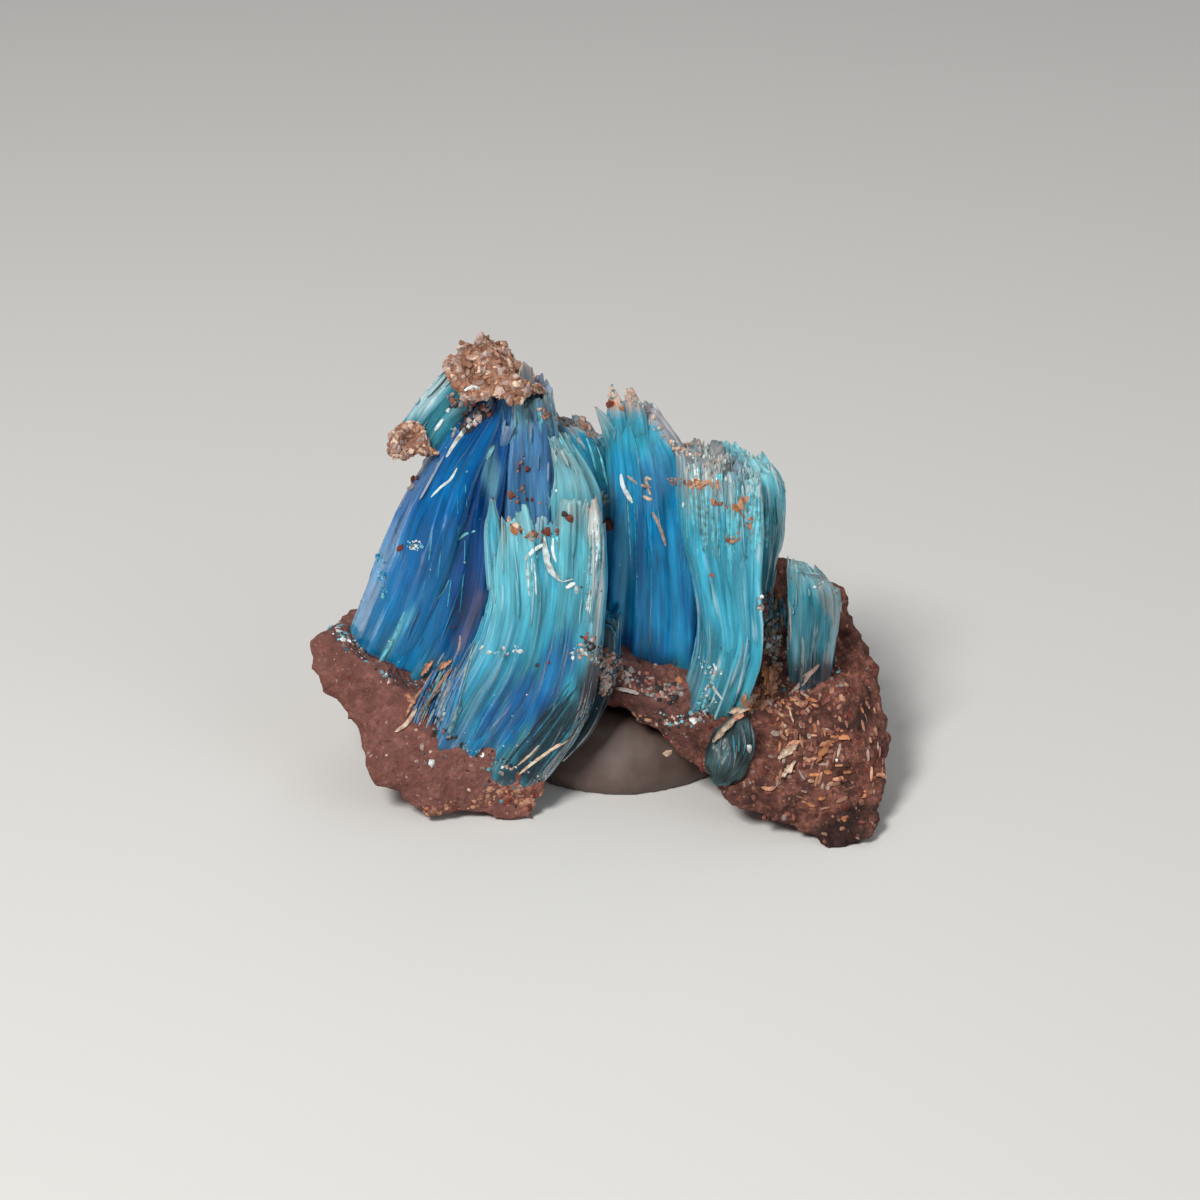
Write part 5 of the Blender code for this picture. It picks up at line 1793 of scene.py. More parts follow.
BANDS = (
    Band(
        ((606, 394), (622, 398), (640, 404), (656, 424), (676, 446), (700, 458), (728, 464)), 6, 110, (0.05, 0.18),
        (Shade.PINK_TAN, Shade.CREAM, Shade.PINK_TAN, Shade.MIST, Shade.WHITE), 0.5
    ),
    Band(((540, 412), (560, 420), (580, 424), (596, 436)), 5, 50, (0.06, 0.20), (Shade.TAN, Shade.PINK_TAN)),
    Band(((668, 480), (690, 484), (716, 484)), 4, 34, (0.07, 0.20), WARM, 0.35),
    Band(((716, 500), (730, 508), (744, 512), (748, 528), (724, 540)), 5, 36, (0.06, 0.18), WARM, 0.4),
    Band(((506, 520), (524, 532), (540, 536), (556, 530)), 5, 34, (0.06, 0.16), ROCKY),
    Band(((520, 462), (528, 482), (514, 500), (548, 500)), 8, 26, (0.05, 0.14), ROCKY),
    Band(((454, 400), (470, 408), (484, 412), (472, 424), (460, 432)), 8, 110, (0.06, 0.20), SOOTY),
    Band(((403, 468), (411, 474), (406, 484)), 8, 70, (0.10, 0.30), (Shade.BRICK, Shade.PINK_TAN, Shade.RUST, Shade.GREY)),
    Band(((408, 540), (414, 546), (420, 544)), 5, 26, (0.04, 0.12), FROSTY),
    Band(((380, 556), (382, 580), (386, 600)), 4, 36, (0.05, 0.14), (Shade.PALE, Shade.MIST, Shade.SKY)),
    Band(((484, 648), (500, 652), (520, 648)), 5, 34, (0.05, 0.16), (Shade.PALE, Shade.MIST, Shade.WHITE)),
    # These dark crumbs in the crevice at the crystals' feet are partly loose debris and partly painted shade.
    Band(((586, 640), (600, 652), (612, 662)), 8, 70, (0.06, 0.17), SOOTY, 0.7),
    Band(((606, 660), (624, 676), (654, 688), (676, 692)), 12, 220, (0.07, 0.24), SOOTY, 0.7, Ground.ROCK),
    Band(((602, 660), (608, 676), (606, 692)), 7, 80, (0.07, 0.20), (Shade.PINK_TAN, Shade.GREY, Shade.DUSK, Shade.CLAY), 0.7),
    Band(((574, 654), (584, 654), (600, 664)), 5, 36, (0.07, 0.17), (Shade.WHITE, Shade.GREY, Shade.PINK_TAN)),
    Band(((350, 640), (366, 656), (392, 676), (420, 690), (440, 700)), 5, 90, (0.05, 0.15), SOOTY + FROSTY),
    Band(((442, 712), (444, 730), (470, 748), (500, 762), (524, 772), (548, 780)), 4, 90, (0.05, 0.14), FROSTY + SOOTY),
    Band(((500, 784), (516, 792), (532, 800), (538, 812)), 12, 170, (0.10, 0.30), ROCKY, 0.7, Ground.ROCK),
    Band(((326, 614), (334, 626), (344, 636)), 8, 46, (0.08, 0.22), FROSTY + (Shade.GREY,)),
    Band(((664, 716), (680, 722), (700, 712), (706, 700)), 7, 90, (0.06, 0.20), FROSTY + SOOTY),
    Band(((700, 660), (712, 676), (706, 690), (712, 704)), 5, 50, (0.05, 0.15), FROSTY, 0.6, Ground.CRYSTAL),
    Band(((766, 668), (776, 676), (768, 690), (756, 700)), 8, 60, (0.12, 0.34), WARM, 0.45, Ground.ROCK),
    Band(((764, 600), (774, 620), (772, 640), (778, 656)), 9, 190, (0.08, 0.24),
        (Shade.PINK_TAN, Shade.CREAM, Shade.BRICK, Shade.GREY, Shade.WHITE), 0.7),
    Band(((700, 762), (712, 774), (728, 780)), 8, 60, (0.10, 0.26), ROCKY, 0.6, Ground.ROCK),
    Band(((756, 700), (790, 706), (830, 700), (846, 690)), 10, 80, (0.08, 0.26), ROCKY, 0.6, Ground.ROCK),
    Band(((610, 706), (640, 722), (668, 748), (696, 776)), 9, 130, (0.08, 0.24), ROCKY + SOOTY, 0.7, Ground.ROCK),
    Band(((380, 806), (420, 812), (450, 806), (490, 800)), 6, 90, (0.06, 0.20), WARM + ROCKY, 0.6, Ground.ROCK),
)

# Patches on the crystals. Most are the crystals' own colours; the INK and DARK_TEAL patches in the crevice at the feet
# of the centre and peak bundles and under the hanging fibres are painted shade.
CRYSTAL_STAINS_AND_SHADE = (
    StainOrShade((458, 660), (1.5, 3.0, 3.2), Shade.BLUE, 0.6, 0.4, 0.25),
    StainOrShade((470, 625), (0.4, 3.0, 2.4), Shade.TAN, 0.22, 0.4, 0.35),
    StainOrShade((438, 690), (1.6, 3.0, 2.0), Shade.MIST, 0.40, 0.5, 0.3),
    StainOrShade((466, 600), (0.8, 3.0, 3.4), Shade.RUST, 0.25, 0.3, 0.1),
    StainOrShade((394, 640), (0.35, 1.6, 2.8), Shade.PALE, 0.55, 0.5, 0.55),
    StainOrShade((384, 560), (0.6, 1.6, 2.0), Shade.SKY, 0.5, 0.3, 0.4),
    StainOrShade((350, 628), (0.7, 1.5, 1.2), Shade.CYAN, 0.6, 0.4, 0.3),
    StainOrShade((474, 520), (1.1, 3.0, 5.4), Shade.DEEP, 0.85, 0.05, 0.2),
    StainOrShade((430, 540), (1.3, 2.0, 4.0), Shade.BLUE, 0.6, 0.1, 0.4),
    StainOrShade((490, 478), (0.6, 1.6, 1.6), Shade.MIST, 0.7, 0.7, 0.0),
    StainOrShade((540, 455), (2.0, 2.0, 2.6), Shade.VIOLET, 0.6, 0.7, 0.0),
    StainOrShade((530, 405), (1.4, 2.0, 1.2), Shade.MIST, 0.6, 0.9, 0.0),
    StainOrShade((574, 550), (0.75, 1.6, 1.2), Shade.CYAN, 0.9, 0.5, 0.0),
    StainOrShade((546, 552), (0.9, 1.8, 1.6), Shade.CYAN, 0.5, 0.5, 0.0),
    StainOrShade((510, 575), (0.9, 1.8, 2.4), Shade.PALE, 0.4, 0.7, 0.0),
    StainOrShade((597, 570), (0.32, 2.0, 3.4), Shade.WHITE, 0.75, 0.9, -0.03),
    StainOrShade((560, 660), (1.2, 2.0, 2.0), Shade.SKY, 0.5, 0.4, 0.2),
    StainOrShade((470, 705), (0.8, 2.0, 1.8), Shade.SEA, 0.5, 0.3, 0.5),
    StainOrShade((512, 716), (1.5, 2.0, 3.0), Shade.BLUE, 0.85, 0.1, 0.5),
    StainOrShade((556, 672), (1.2, 2.0, 2.6), Shade.BLUE, 0.6, 0.15, 0.4),
    StainOrShade((545, 716), (0.9, 2.0, 2.4), Shade.DEEP, 0.75, 0.1, 0.5),
    StainOrShade((500, 700), (0.3, 2.0, 3.0), Shade.DEEP, 0.6, 0.1, 0.5),
    StainOrShade((486, 742), (1.6, 2.0, 1.3), Shade.SKY, 0.6, 0.2, 0.5),
    StainOrShade((564, 728), (2.3, 3.0, 3.6), Shade.INK, 0.92, 0.2, 0.6),
    StainOrShade((600, 700), (1.8, 2.6, 2.6), Shade.INK, 0.95, 0.2, 0.3),
    StainOrShade((596, 670), (1.6, 2.6, 1.9), Shade.DARK_TEAL, 0.9, 0.1, 0.3),
    StainOrShade((574, 545), (1.0, 2.0, 1.6), Shade.PALE, 0.6, 0.3, 0.0),
    StainOrShade((640, 436), (1.6, 2.6, 1.5), Shade.CYAN, 0.8, 0.3, -0.3),
    StainOrShade((668, 428), (0.5, 2.6, 1.7), Shade.DUSK, 0.9, 0.8, -0.75),
    StainOrShade((668, 692), (1.2, 2.4, 1.4), Shade.DARK_TEAL, 0.5, 0.4, 0.0),
    StainOrShade((610, 640), (0.9, 2.6, 1.6), Shade.DARK_TEAL, 0.9, 0.05, 0.0),
    StainOrShade((612, 570), (0.7, 2.6, 5.4), Shade.AZURE, 0.9, 0.1, 0.0),
    StainOrShade((540, 768), (1.9, 2.6, 1.3), Shade.DARK_TEAL, 0.9, 0.3, 0.5),
    StainOrShade((514, 774), (1.3, 2.4, 0.9), Shade.DARK_TEAL, 0.8, 0.3, 0.5),
    StainOrShade((590, 470), (1.0, 1.6, 1.6), Shade.MIST, 0.5, 0.8, -0.3),
    StainOrShade((602, 470), (0.8, 3.0, 2.2), Shade.SEA, 0.6, 0.4, -0.1),
    StainOrShade((646, 440), (1.1, 2.6, 1.7), Shade.CYAN, 0.6, 0.4, -0.3),
    StainOrShade((625, 560), (0.5, 2.2, 6.0), Shade.CYAN, 0.45, 0.4, 0.0),
    StainOrShade((662, 600), (2.4, 2.6, 5.4), Shade.AZURE, 0.9, 0.05, 0.0),
    StainOrShade((640, 560), (0.25, 2.2, 4.0), Shade.BLUE, 0.7, 0.1, 0.0),
    StainOrShade((655, 480), (1.4, 2.2, 1.6), Shade.VIOLET, 0.55, 0.6, 0.0),
    StainOrShade((620, 640), (1.6, 3.0, 1.2), Shade.DEEP, 0.6, 0.1, 0.0),
    StainOrShade((660, 676), (1.8, 3.0, 0.9), Shade.DARK_TEAL, 0.8, 0.3, 0.0),
    StainOrShade((614, 396), (0.9, 1.6, 0.9), Shade.CREAM, 0.8, 0.8, 0.0),
    StainOrShade((613, 404), (0.25, 1.6, 0.3), Shade.ORANGE, 0.9, 0.8, 0.0),
    StainOrShade((636, 402), (0.7, 1.6, 0.6), Shade.PINK_TAN, 0.8, 0.8, 0.0),
    StainOrShade((700, 560), (1.0, 2.0, 3.0), Shade.CYAN, 0.7, 0.4, 0.0),
    StainOrShade((740, 600), (0.8, 2.0, 4.4), Shade.CYAN, 0.5, 0.4, 0.0),
    StainOrShade((690, 680), (1.3, 2.2, 1.8), Shade.SEA, 0.5, 0.4, 0.1),
    StainOrShade((684, 706), (1.5, 2.2, 1.0), Shade.TEAL, 0.7, 0.5, 0.1),
    StainOrShade((730, 500), (1.4, 1.8, 1.1), Shade.MIST, 0.5, 0.8, 0.0),
    StainOrShade((772, 560), (0.8, 2.6, 3.6), Shade.TEAL, 0.5, 0.4, 0.0),
    StainOrShade((812, 640), (1.3, 2.0, 2.2), Shade.TEAL, 0.6, 0.25, 0.0),
    StainOrShade((818, 676), (2.0, 2.4, 1.7), Shade.DARK_TEAL, 0.9, 0.2, 0.0),
    StainOrShade((806, 575), (1.0, 2.0, 1.4), Shade.MIST, 0.6, 0.7, -0.4),
    StainOrShade((832, 600), (0.7, 2.0, 1.6), Shade.TAN, 0.4, 0.8, -0.3),
    StainOrShade((470, 412), (1.1, 1.6, 1.0), Shade.SOOT, 0.75, 0.7, 0.3),
    StainOrShade((425, 400), (0.5, 1.4, 1.6), Shade.WHITE, 0.4, 0.8, 0.9),
    StainOrShade((440, 425), (0.8, 1.4, 1.2), Shade.SEA, 0.6, 0.5, 0.6),
)


# Painted shade on the rock: darkening under the lobes, below the hanging crystals and in the crevices at the crystals'
# feet.
ROCK_PAINTED_SHADE = (
    StainOrShade((630, 690), (2.2, 3.0, 1.4), Shade.DUSK, 0.9),
    StainOrShade((596, 668), (1.6, 3.0, 1.6), Shade.NIGHT, 0.9),
    StainOrShade((655, 712), (2.4, 3.0, 1.6), Shade.DUSK, 0.6),
    StainOrShade((690, 745), (2.0, 2.4, 1.4), Shade.DUSK, 0.6),
    
    StainOrShade((776, 676), (1.3, 2.4, 1.4), Shade.DUSK, 0.8),
    StainOrShade((812, 712), (2.2, 3.0, 1.0), Shade.DUSK, 0.7),
    StainOrShade((860, 722), (1.6, 2.0, 0.35), Shade.NIGHT, 0.8),
    StainOrShade((865, 810), (1.4, 2.0, 0.3), Shade.NIGHT, 0.8),
    StainOrShade((470, 812), (3.6, 3.0, 0.9), Shade.DUSK, 0.8),
    StainOrShade((350, 640), (1.2, 2.0, 0.9), Shade.DUSK, 0.5),
    StainOrShade((420, 684), (3.0, 2.0, 0.8), Shade.DUSK, 0.5, None, 0.0),
    StainOrShade((844, 834), (2.2, 3.0, 0.8), Shade.NIGHT, 0.9),
    StainOrShade((752, 796), (2.0, 2.4, 0.6), Shade.DUSK, 0.8),
    StainOrShade((788, 814), (1.6, 2.4, 0.6), Shade.DUSK, 0.8),
    StainOrShade((868, 701), (0.8, 1.6, 0.4), Shade.NIGHT, 0.7),
    StainOrShade((846, 707), (0.5, 1.4, 0.3), Shade.NIGHT, 0.6),
    StainOrShade((882, 751), (0.3, 1.4, 0.6), Shade.NIGHT, 0.7),
    StainOrShade((850, 772), (1.2, 2.0, 0.8), Shade.DUSK, 0.5),
)


def paint_stains_and_shade(touch: "Touch", patches: tuple[StainOrShade, ...], targets: list[bpy.types.Object]) -> None:
    """Paints stains and patches of painted shade into the tint of some pieces.

    A patch covers where the distance from its middle, measured in its own three reaches, is under one, with
    an edge that noise breaks up.

    Args:
        touch: finds each stain's middle.
        patches: the stains and the patches of painted shade.
        targets: the pieces that take them.
    """
    hits = [(stain, touch.at(*stain.pixel)) for stain in patches]
    for obj in targets:
        points, _ = surface_of(obj)
        layer = obj.data.attributes["tint"]
        values = np.empty(len(points) * 4, np.float32)
        layer.data.foreach_get("color", values)
        tint = values.reshape(-1, 4).astype(float)
        edge = 0.45 * lumps(points * np.array([1.0, 1.0, 0.4]), 0.5, 201)
        mottle = 1.0 + 0.35 * lumps(points * np.array([1.0, 1.0, 0.25]), 0.3, 202)[:, None]
        # Some patches are stains of the crystals' own colours; the dark crevice patches and all of the rock's are
        # painted shade.
        for stain, hit in hits:
            if hit is None:
                continue
            away = points - hit[0]
            away[:, 0] -= stain.lean * away[:, 2]
            far = np.linalg.norm(away / np.array(stain.reach), axis=1) + edge
            cover = stain.strength * ease(1.15, 0.45, far)
            tint[:, :3] = blend(tint[:, :3], stain.shade.rgb * mottle, cover)
            if stain.frost is not None:
                tint[:, 3] += (stain.frost - tint[:, 3]) * cover
        layer.data.foreach_set("color", tint.astype(np.float32).ravel())


@dataclass
class LooseBits:
    """The curls, crumbs and flakes that lie on the specimen where the picture shows them."""

    touch: Touch
    on_rock: Touch
    on_crystal: Touch

    def curls(self) -> bpy.types.Object:
        """The single loose fibres, and the litter of small flakes on the rock."""
        out = Skin()
        for curl in CURLS:
            self.add_strand(out, curl.pixels, curl.width, curl.shade, curl.lift)
        for number, litter in enumerate(LITTER):
            self.add_sheaf(out, litter, 50 + number)
        return out.piece("loose_curls", smooth=False)

    def sheaves(self) -> bpy.types.Object:
        """The groups of loose fibres: each one lies between its group's outer two."""
        out = Skin()
        for number, sheaf in enumerate(SHEAVES):
            self.add_sheaf(out, sheaf, number)
        return out.piece("loose_sheaves")

    def add_sheaf(self, out: Skin, sheaf: Sheaf, number: int) -> None:
        """Adds a group of fibres, each one somewhere between the outer two.

        Args:
            out: the surface that takes them.
            sheaf: the group.
            number: fixes the draws.
        """
        first, last = np.array(sheaf.first, float), np.array(sheaf.last, float)
        dice = hash01(np.arange(sheaf.count)[:, None], number, np.arange(6)[None], 210)
        for roll in dice:
            part = sheaf.part * (0.5 + roll[1])
            start = (1.0 - part) * roll[2] if part < 1.0 else 0.0
            stops = start + min(part, 1.0) * np.linspace(0.0, 1.0, 5)
            middle = first + (last - first) * roll[0]
            line = curve(middle, stops) + (roll[3] - 0.5) * 6.0 * (stops[:, None] - 0.5) * np.array([1.0, 0.0])
            shade = sheaf.shades[int(roll[4] * len(sheaf.shades))]
            width = sheaf.width * (0.6 + 0.9 * roll[5])
            self.add_strand(out, tuple(map(tuple, line)), width, shade, sheaf.lift * roll[3])

    def add_strand(
        self, out: Skin, pixels: tuple[tuple[float, float], ...], width: float, shade: Shade, lift: float
    ) -> None:
        """Adds one loose fibre: a flat six-sided section along a curve through the places it touches.

        The wider it is, the more it is a flake: thinner, cupped towards its edges, and torn along them. Where
        two touching places lie much further apart than they look, there is a gap between them, and only the
        longest part without a gap is made.

        Args:
            out: the surface that takes it.
            pixels: points along it in the picture.
            width: its width in millimetres.
            shade: its colour.
            lift: how far it stands off.
        """
        rows = 12
        around = np.arange(6) * np.pi / 3
        found = [(np.array(pixel), self.touch.at(*pixel)) for pixel in pixels]
        rows_found = [np.concatenate([pixel, *hit]) for pixel, hit in found if hit is not None]
        if len(rows_found) < 2:
            return
        touched = np.array(rows_found)
        steps = np.diff(touched, axis=0)
        seen = np.linalg.norm(steps[:, :2], axis=1) / PIXELS_PER_MM
        breaks = np.flatnonzero(np.linalg.norm(steps[:, 2:5], axis=1) > 0.4 + 2.5 * seen) + 1
        touched = max(np.split(touched, breaks), key=len)
        if len(touched) < 2:
            return
        places, normals = touched[:, 2:5], touched[:, 5:8]
        towards = unit(self.touch.view.place - places[0])
        stops = places + 0.5 * (normals + towards) * lift
        u = np.linspace(0.0, 1.0, rows)
        line = curve(stops, u)
        tangent = unit(np.gradient(line, axis=0))
        side = unit(np.cross(tangent, towards))
        up = np.cross(side, tangent)
        taper = 0.35 + 0.65 * np.clip(1.0 - np.abs(2 * u - 1) ** 3, 0.0, 1.0)
        torn = min(1.0, width / 0.4) ** 2
        jag = hash01(np.arange(rows)[:, None], np.arange(6)[None], out.count, 212)
        wide = (width / 2 * taper)[:, None] * (1.0 - 0.6 * torn * jag)
        raised = np.sin(around)[None] * wide * (0.5 - 0.3 * torn) + 0.35 * torn * width * np.cos(around)[None] ** 2
        slip = torn * width * (hash01(out.count, 213) - 0.5) * np.cos(around)[None]
        ring = (
            line[:, None]
            + side[:, None] * (np.cos(around)[None] * wide)[..., None]
            + up[:, None] * raised[..., None]
            + tangent[:, None] * slip[..., None]
        )
        points = np.concatenate([ring.reshape(-1, 3), line[:1], line[-1:]])
        here = np.arange(6)
        there = (here + 1) % 6
        base = (rows - 1) * 6
        fans = np.concatenate(
            [
                np.stack([there, here, np.full(6, rows * 6)], axis=-1),
                np.stack([base + here, base + there, np.full(6, rows * 6 + 1)], axis=-1),
            ]
        )
        tone = shade.rgb * (0.8 + 0.4 * float(hash01(out.count, 211)))
        out.add(points, tube_faces(rows, 6), fans, np.tile(np.append(tone, 0.9), (len(points), 1)))

    def bands(self) -> bpy.types.Object:
        """The crumbs along lines."""
        crumbs = Crumbs("crumb_lines")
        for number, band in enumerate(BANDS):
            dice = hash01(np.arange(band.count)[:, None], number, np.arange(5)[None], 220)
            middle = curve(np.array(band.pixels, float), dice[:, 0])
            swing = band.reach * np.sqrt(dice[:, 1])
            offset = np.stack([np.cos(2 * np.pi * dice[:, 2]) * swing, np.sin(2 * np.pi * dice[:, 2]) * swing], axis=-1)
            touch = {Ground.ROCK: self.on_rock, Ground.CRYSTAL: self.on_crystal}.get(band.on, self.touch)
            found = [touch.at(*pixel) for pixel in middle + offset]
            kept = np.array([hit is not None for hit in found])
            places = np.array([hit[0] for hit in found if hit is not None])
            ups = np.array([hit[1] for hit in found if hit is not None])
            sizes = band.sizes[0] + (band.sizes[1] - band.sizes[0]) * dice[kept, 3] ** 2
            colours = palette(band.shades, band.count, 230 + number)[kept]
            crumbs.scatter(places, ups, sizes, colours, 260 + number, flat=band.flat, sink=0.2)
        return crumbs.piece()

    def specks(self) -> bpy.types.Object:
        """The single grains, each sitting on what is under its pixel."""
        crumbs = Crumbs("single_grains")
        found = [(speck, self.touch.at(*speck.pixel)) for speck in SPECKS]
        for number, (speck, hit) in enumerate(found):
            if hit is None:
                LOG.warning("grain %d touches nothing", number)
                continue
            crumbs.scatter(
                hit[0][None],
                hit[1][None],
                np.array([speck.size]),
                speck.shade.rgb[None],
                300 + number,
                flat=speck.flat,
                sink=0.15,
            )
        return crumbs.piece()


@dataclass
class RockCrumbs:
    """Grains that lie loose on the rock or stand out of it: fine on the left, coarse on the right."""

    rock: bpy.types.Object
    crystals: list[bpy.types.Object]
    fine: int = 700
    coarse: int = 1300
    debris: int = 1200

    def build(self) -> bpy.types.Object:
        """The grains' piece."""
        points, normals = surface_of(self.rock)
        crumbs = Crumbs("rock_grains")
        x, y, z = points.T
        upward = np.clip(normals[:, 2] + 0.6, 0.0, 1.0)
        left = (x < 2.0) * upward * (z > 0.3)
        places, ups = pick_places(points, normals, left, self.fine, 110)
        shades = (Shade.BRICK, Shade.PINK_TAN, Shade.BRICK, Shade.TAN, Shade.RUST, Shade.CREAM)
        sizes = 0.04 + 0.10 * hash01(np.arange(self.fine), 111) ** 2
        crumbs.scatter(places, ups, sizes, palette(shades, self.fine, 112) * 0.8, 113)
        right = (x > 4.0) * upward * (z > 0.3)
        places, ups = pick_places(points, normals, right, self.coarse, 120)
        shades = (Shade.BRICK, Shade.RUST, Shade.BRICK, Shade.CLAY, Shade.TAN, Shade.RUST, Shade.PINK_TAN)
        sizes = 0.06 + 0.20 * hash01(np.arange(self.coarse), 121) ** 3
        crumbs.scatter(places, ups, sizes, palette(shades, self.coarse, 122) * 0.7, 123)
        standing = np.concatenate([surface_of(obj)[0] for obj in self.crystals])
        foot = near(points, standing, 0.45) * (normals[:, 2] > -0.2)
        places, ups = pick_places(points, normals, foot.astype(float), self.debris, 130)
        shades = (Shade.SOOT, Shade.GREY, Shade.BRICK, Shade.SOOT, Shade.PALE, Shade.TEAL, Shade.PINK_TAN)
        sizes = 0.05 + 0.16 * hash01(np.arange(self.debris), 131) ** 2
        crumbs.scatter(places, ups, sizes, palette(shades, self.debris, 132) * 0.7, 133)
        return crumbs.piece()


@dataclass
class CrystalDustAndGlints:
    """Specks that sit all over the crystals: the pale ones are painted glints, white grains that stand for small
    specular highlights; some are rusty dust.
    """

    crystals: list[bpy.types.Object]
    count: int = 1400

    def build(self) -> bpy.types.Object:
        """The specks' piece."""
        surfaces = [surface_of(obj) for obj in self.crystals]
        points = np.concatenate([surface[0] for surface in surfaces])
        normals = np.concatenate([surface[1] for surface in surfaces])
        weight = np.clip(0.25 + lumps(points, 2.2, 150), 0.0, 1.0)
        places, ups = pick_places(points, normals, weight, self.count, 151)
        # Painted highlight: the white and pale specks stand for glints; the rusty and pink-tan ones are dust.
        shades = (Shade.WHITE, Shade.PALE, Shade.MIST, Shade.WHITE, Shade.PALE, Shade.RUST, Shade.PINK_TAN)
        sizes = 0.025 + 0.07 * hash01(np.arange(self.count), 152) ** 3
        crumbs = Crumbs("crystal_dust_and_glints")
        crumbs.scatter(places, ups, sizes, palette(shades, self.count, 153), 154)
        return crumbs.piece()


@dataclass
class Chip:
    """The teal chip on the right lobe: an egg of crystal with ribs along it."""

    centre: tuple[float, float, float] = (6.1, -9.7, 4.4)
    half: tuple[float, float, float] = (1.35, 0.95, 2.05)
    tilt: tuple[float, float] = (-40.0, 26.0)
    seed: int = 140

    def build(self) -> bpy.types.Object:
        """The chip's piece: rings of an egg, whose radius has ribs round it and lumps all over."""
        rows, columns = 40, 96
        v = np.linspace(0.03, 0.97, rows)[:, None] * np.pi
        u = np.arange(columns)[None] * 2 * np.pi / columns
        rib = 0.05 * np.abs(np.sin(u * 11 + 1.2 * np.sin(3 * v))) + 0.0 * v
        ball = np.stack([np.sin(v) * np.cos(u), np.sin(v) * np.sin(u), np.cos(v) + 0.0 * u], axis=-1)
        wobble = 0.13 * lumps(ball, 0.55, self.seed) + 0.06 * lumps(ball, 0.2, self.seed + 2) + rib
        local = ball * (0.94 + wobble)[..., None] * np.array(self.half)
        a, b = (math.radians(t) for t in self.tilt)
        about_x = np.array([[1, 0, 0], [0, math.cos(a), -math.sin(a)], [0, math.sin(a), math.cos(a)]])
        about_y = np.array([[math.cos(b), 0, math.sin(b)], [0, 1, 0], [-math.sin(b), 0, math.cos(b)]])
        placed = local @ (about_y @ about_x).T + np.array(self.centre)
        poles = np.stack([placed[0].mean(axis=0), placed[-1].mean(axis=0)])
        points = np.concatenate([placed.reshape(-1, 3), poles])
        here = np.arange(columns)
        there = (here + 1) % columns
        base = (rows - 1) * columns
        last = rows * columns
        fans = np.concatenate(
            [
                np.stack([here, there, np.full(columns, last)], axis=-1),
                np.stack([base + there, base + here, np.full(columns, last + 1)], axis=-1),
            ]
        )
        patch = lumps(points, 0.7, self.seed + 1)
        colour = blend(np.array([0.018, 0.034, 0.036]), np.array([0.085, 0.140, 0.145]), 0.35 + 0.9 * patch)
        tint = np.concatenate([colour, 0.45 + 0.2 * patch[:, None]], axis=1)
        ring = np.repeat((u * 1.2 + 0.0 * v).reshape(-1, 1), 1, axis=1)
        down = (v * 1.4 + 0.0 * u).reshape(-1, 1)
        grain = np.concatenate([np.concatenate([ring, down, np.ones_like(ring)], axis=1), np.zeros((2, 3))])
        out = Skin()
        out.add(points, tube_faces(rows, columns)[:, ::-1], fans, tint, grain)
        return out.piece("teal_chip_surface")


@dataclass(frozen=True)
class Studio:
    """A pale floor, three soft lamps and a pale surround."""

    floor_size: float = 1.6
    floor: Colour = (0.66, 0.65, 0.63)
    surround: float = 0.20

    def build(self) -> None:
        """Makes the floor, the lamps and the surround."""
        self.make_floor()
        self.lamp("key", (-120.0, -170.0, 250.0), 90.0, 0.98, (1.0, 0.98, 0.95))
        self.lamp("fill", (240.0, -180.0, 140.0), 240.0, 0.26, (0.95, 0.98, 1.0))
        self.lamp("back", (40.0, 190.0, 300.0), 220.0, 0.16, (1.0, 1.0, 1.0))
        world = bpy.data.worlds.new("surround")
        world.use_nodes = True
        world.node_tree.nodes["Background"].inputs["Color"].default_value = (0.95, 0.97, 1.0, 1.0)
        world.node_tree.nodes["Background"].inputs["Strength"].default_value = self.surround
        bpy.context.scene.world = world

    def make_floor(self) -> None:
        """The floor, a net of quads whose height is nought, with a faintly uneven finish."""
        side = np.linspace(-self.floor_size / 2, self.floor_size / 2, 9) / MM
        across, back = np.meshgrid(side, side, indexing="ij")
        points = np.stack([across, back, np.zeros_like(across)], axis=-1).reshape(-1, 3)
        row = np.arange(8)[:, None] * 9
        col = np.arange(8)[None]
        quads = np.stack([row + col, row + col + 9, row + col + 10, row + col + 1], axis=-1)
        out = Skin()
        out.add(points, quads, np.empty((0, 3), int), np.ones((81, 4)))
        obj = out.piece("floor")
        nodes = Nodes("floor_finish")
        place = nodes.add("ShaderNodeTexCoord").outputs["Object"]
        pale = nodes.mix(nodes.noise(place, 18.0, 3.0), tuple(c * 0.97 for c in self.floor), self.floor)
        nodes.wire(pale, nodes.shader.inputs["Base Color"])
        nodes.put(Roughness=0.7)
        obj.data.materials.append(nodes.material)

    def lamp(self, name: str, place: tuple[float, float, float], size: float, power: float, colour: Colour) -> None:
        """A soft square lamp that faces the specimen.

        Args:
            name: its name.
            place: where it is, in millimetres.
            size: its side in millimetres.
            power: its power in watts.
            colour: its colour.
        """
        data = bpy.data.lights.new(name, "AREA")
        data.size = size * MM
        data.energy = power
        data.color = colour
        obj = bpy.data.objects.new(name, data)
        obj.location = Vector(place) * MM
        obj.rotation_mode = "QUATERNION"
        obj.rotation_quaternion = (Vector((0.0, 0.0, 9.0)) * MM - obj.location).to_track_quat("-Z", "Y")
        bpy.context.scene.collection.objects.link(obj)


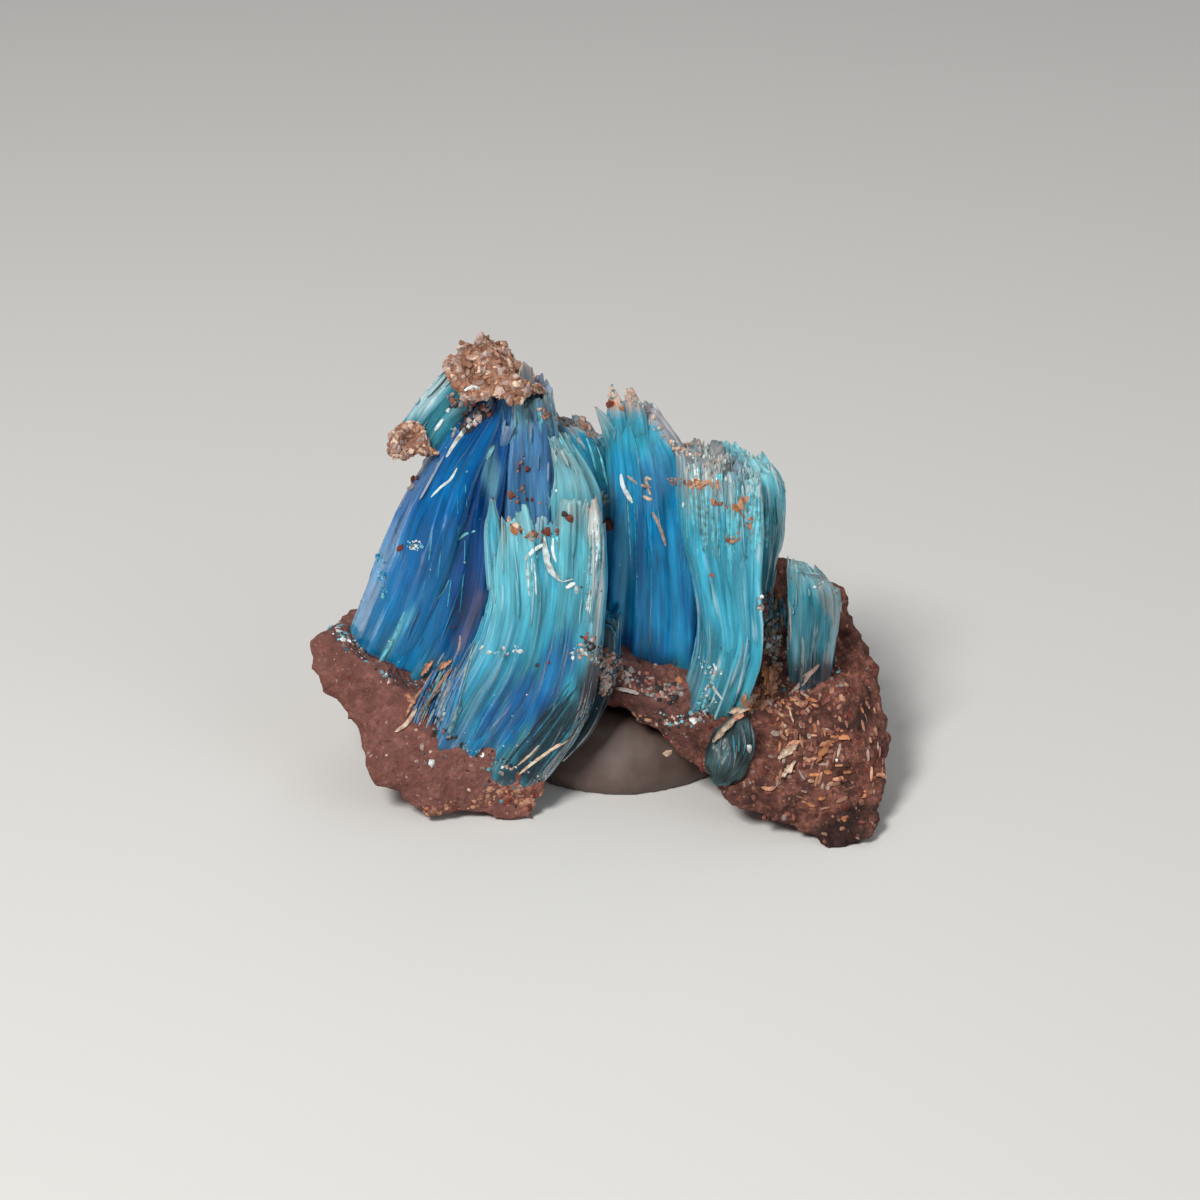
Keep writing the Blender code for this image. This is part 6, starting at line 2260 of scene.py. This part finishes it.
def main() -> None:
    """Builds and dresses the specimen, in the order that its parts carry each other."""
    logging.basicConfig(level=logging.INFO, format="%(message)s")
    view = View()
    view.camera()
    Studio().build()

    blue = CrystalFinish("blue_crystal_finish").material()
    teal = CrystalFinish("teal_crystal_finish", clear=0.3).material()
    rock_look = RockFinish().material()
    crumb_look = GrainFinish("crumb_finish").material()
    curl_look = GrainFinish("curl_finish", roughness=0.5, glow=0.25).material()

    rock = HostRock().build()
    dress(rock, rock_look, "host_rock", "host_rock")
    pad = Putty().build()
    dress(pad, PuttyFinish().material(), "putty", "putty_pad")

    carriers = [rock, pad]
    crystals = []
    for group in (
        CrystalGroup("crystals_left", FRONT_LEFT),
        CrystalGroup("crystals_right", FRONT_RIGHT),
        CrystalGroup("crystals_webs", WEBS + TEETH),
        CrystalGroup("crystals_back", BACK + BACK_WEBS + (HEART,)),
    ):
        body = group.bodies()
        dress(body, blue, "blue_crystal", *(("main_crystals",) if group.name == "crystals_left" else ()))
        thin = group.strips()
        dress(thin, blue, "blue_crystal")
        carriers.append(body)
        crystals += [body, thin]

    side = CrystalGroup("side_crystal_bundle", (SIDE,))
    body = side.bodies()
    dress(body, teal, "teal_crystal", "side_crystal")
    thin = side.strips()
    dress(thin, teal, "teal_crystal")
    carriers.append(body)
    crystals += [body, thin]
    chip = Chip().build()
    dress(chip, teal, "teal_crystal", "teal_chip")
    carriers.append(chip)

    warm = (Shade.TAN, Shade.CLAY, Shade.PINK_TAN, Shade.TAN, Shade.PINK_TAN, Shade.CREAM, Shade.CLAY)
    for crust in (Crust("top_crust", 1500, (0.10, 0.32), warm), Crust("left_crust", 420, (0.09, 0.26), warm)):
        obj = crust.build()
        dress(obj, crumb_look, "tan_crust", crust.node)
        carriers.append(obj)

    dress(RockCrumbs(rock, crystals).build(), crumb_look, "host_rock")
    dress(CrystalDustAndGlints([obj for obj in crystals if not obj.name.endswith("_blades")]).build(), crumb_look, "tan_crust")
    touch = Touch(view, carriers)
    paint_stains_and_shade(touch, CRYSTAL_STAINS_AND_SHADE, crystals)
    paint_stains_and_shade(touch, ROCK_PAINTED_SHADE, [rock])
    bits = LooseBits(touch, Touch(view, [rock]), Touch(view, crystals))
    dress(bits.curls(), curl_look, "tan_crust")
    dress(bits.sheaves(), curl_look, "blue_crystal")
    dress(bits.specks(), crumb_look, "tan_crust")
    dress(bits.bands(), crumb_look, "tan_crust")
    bpy.context.scene.view_settings.view_transform = "Standard"


if __name__ == "__main__":
    main()
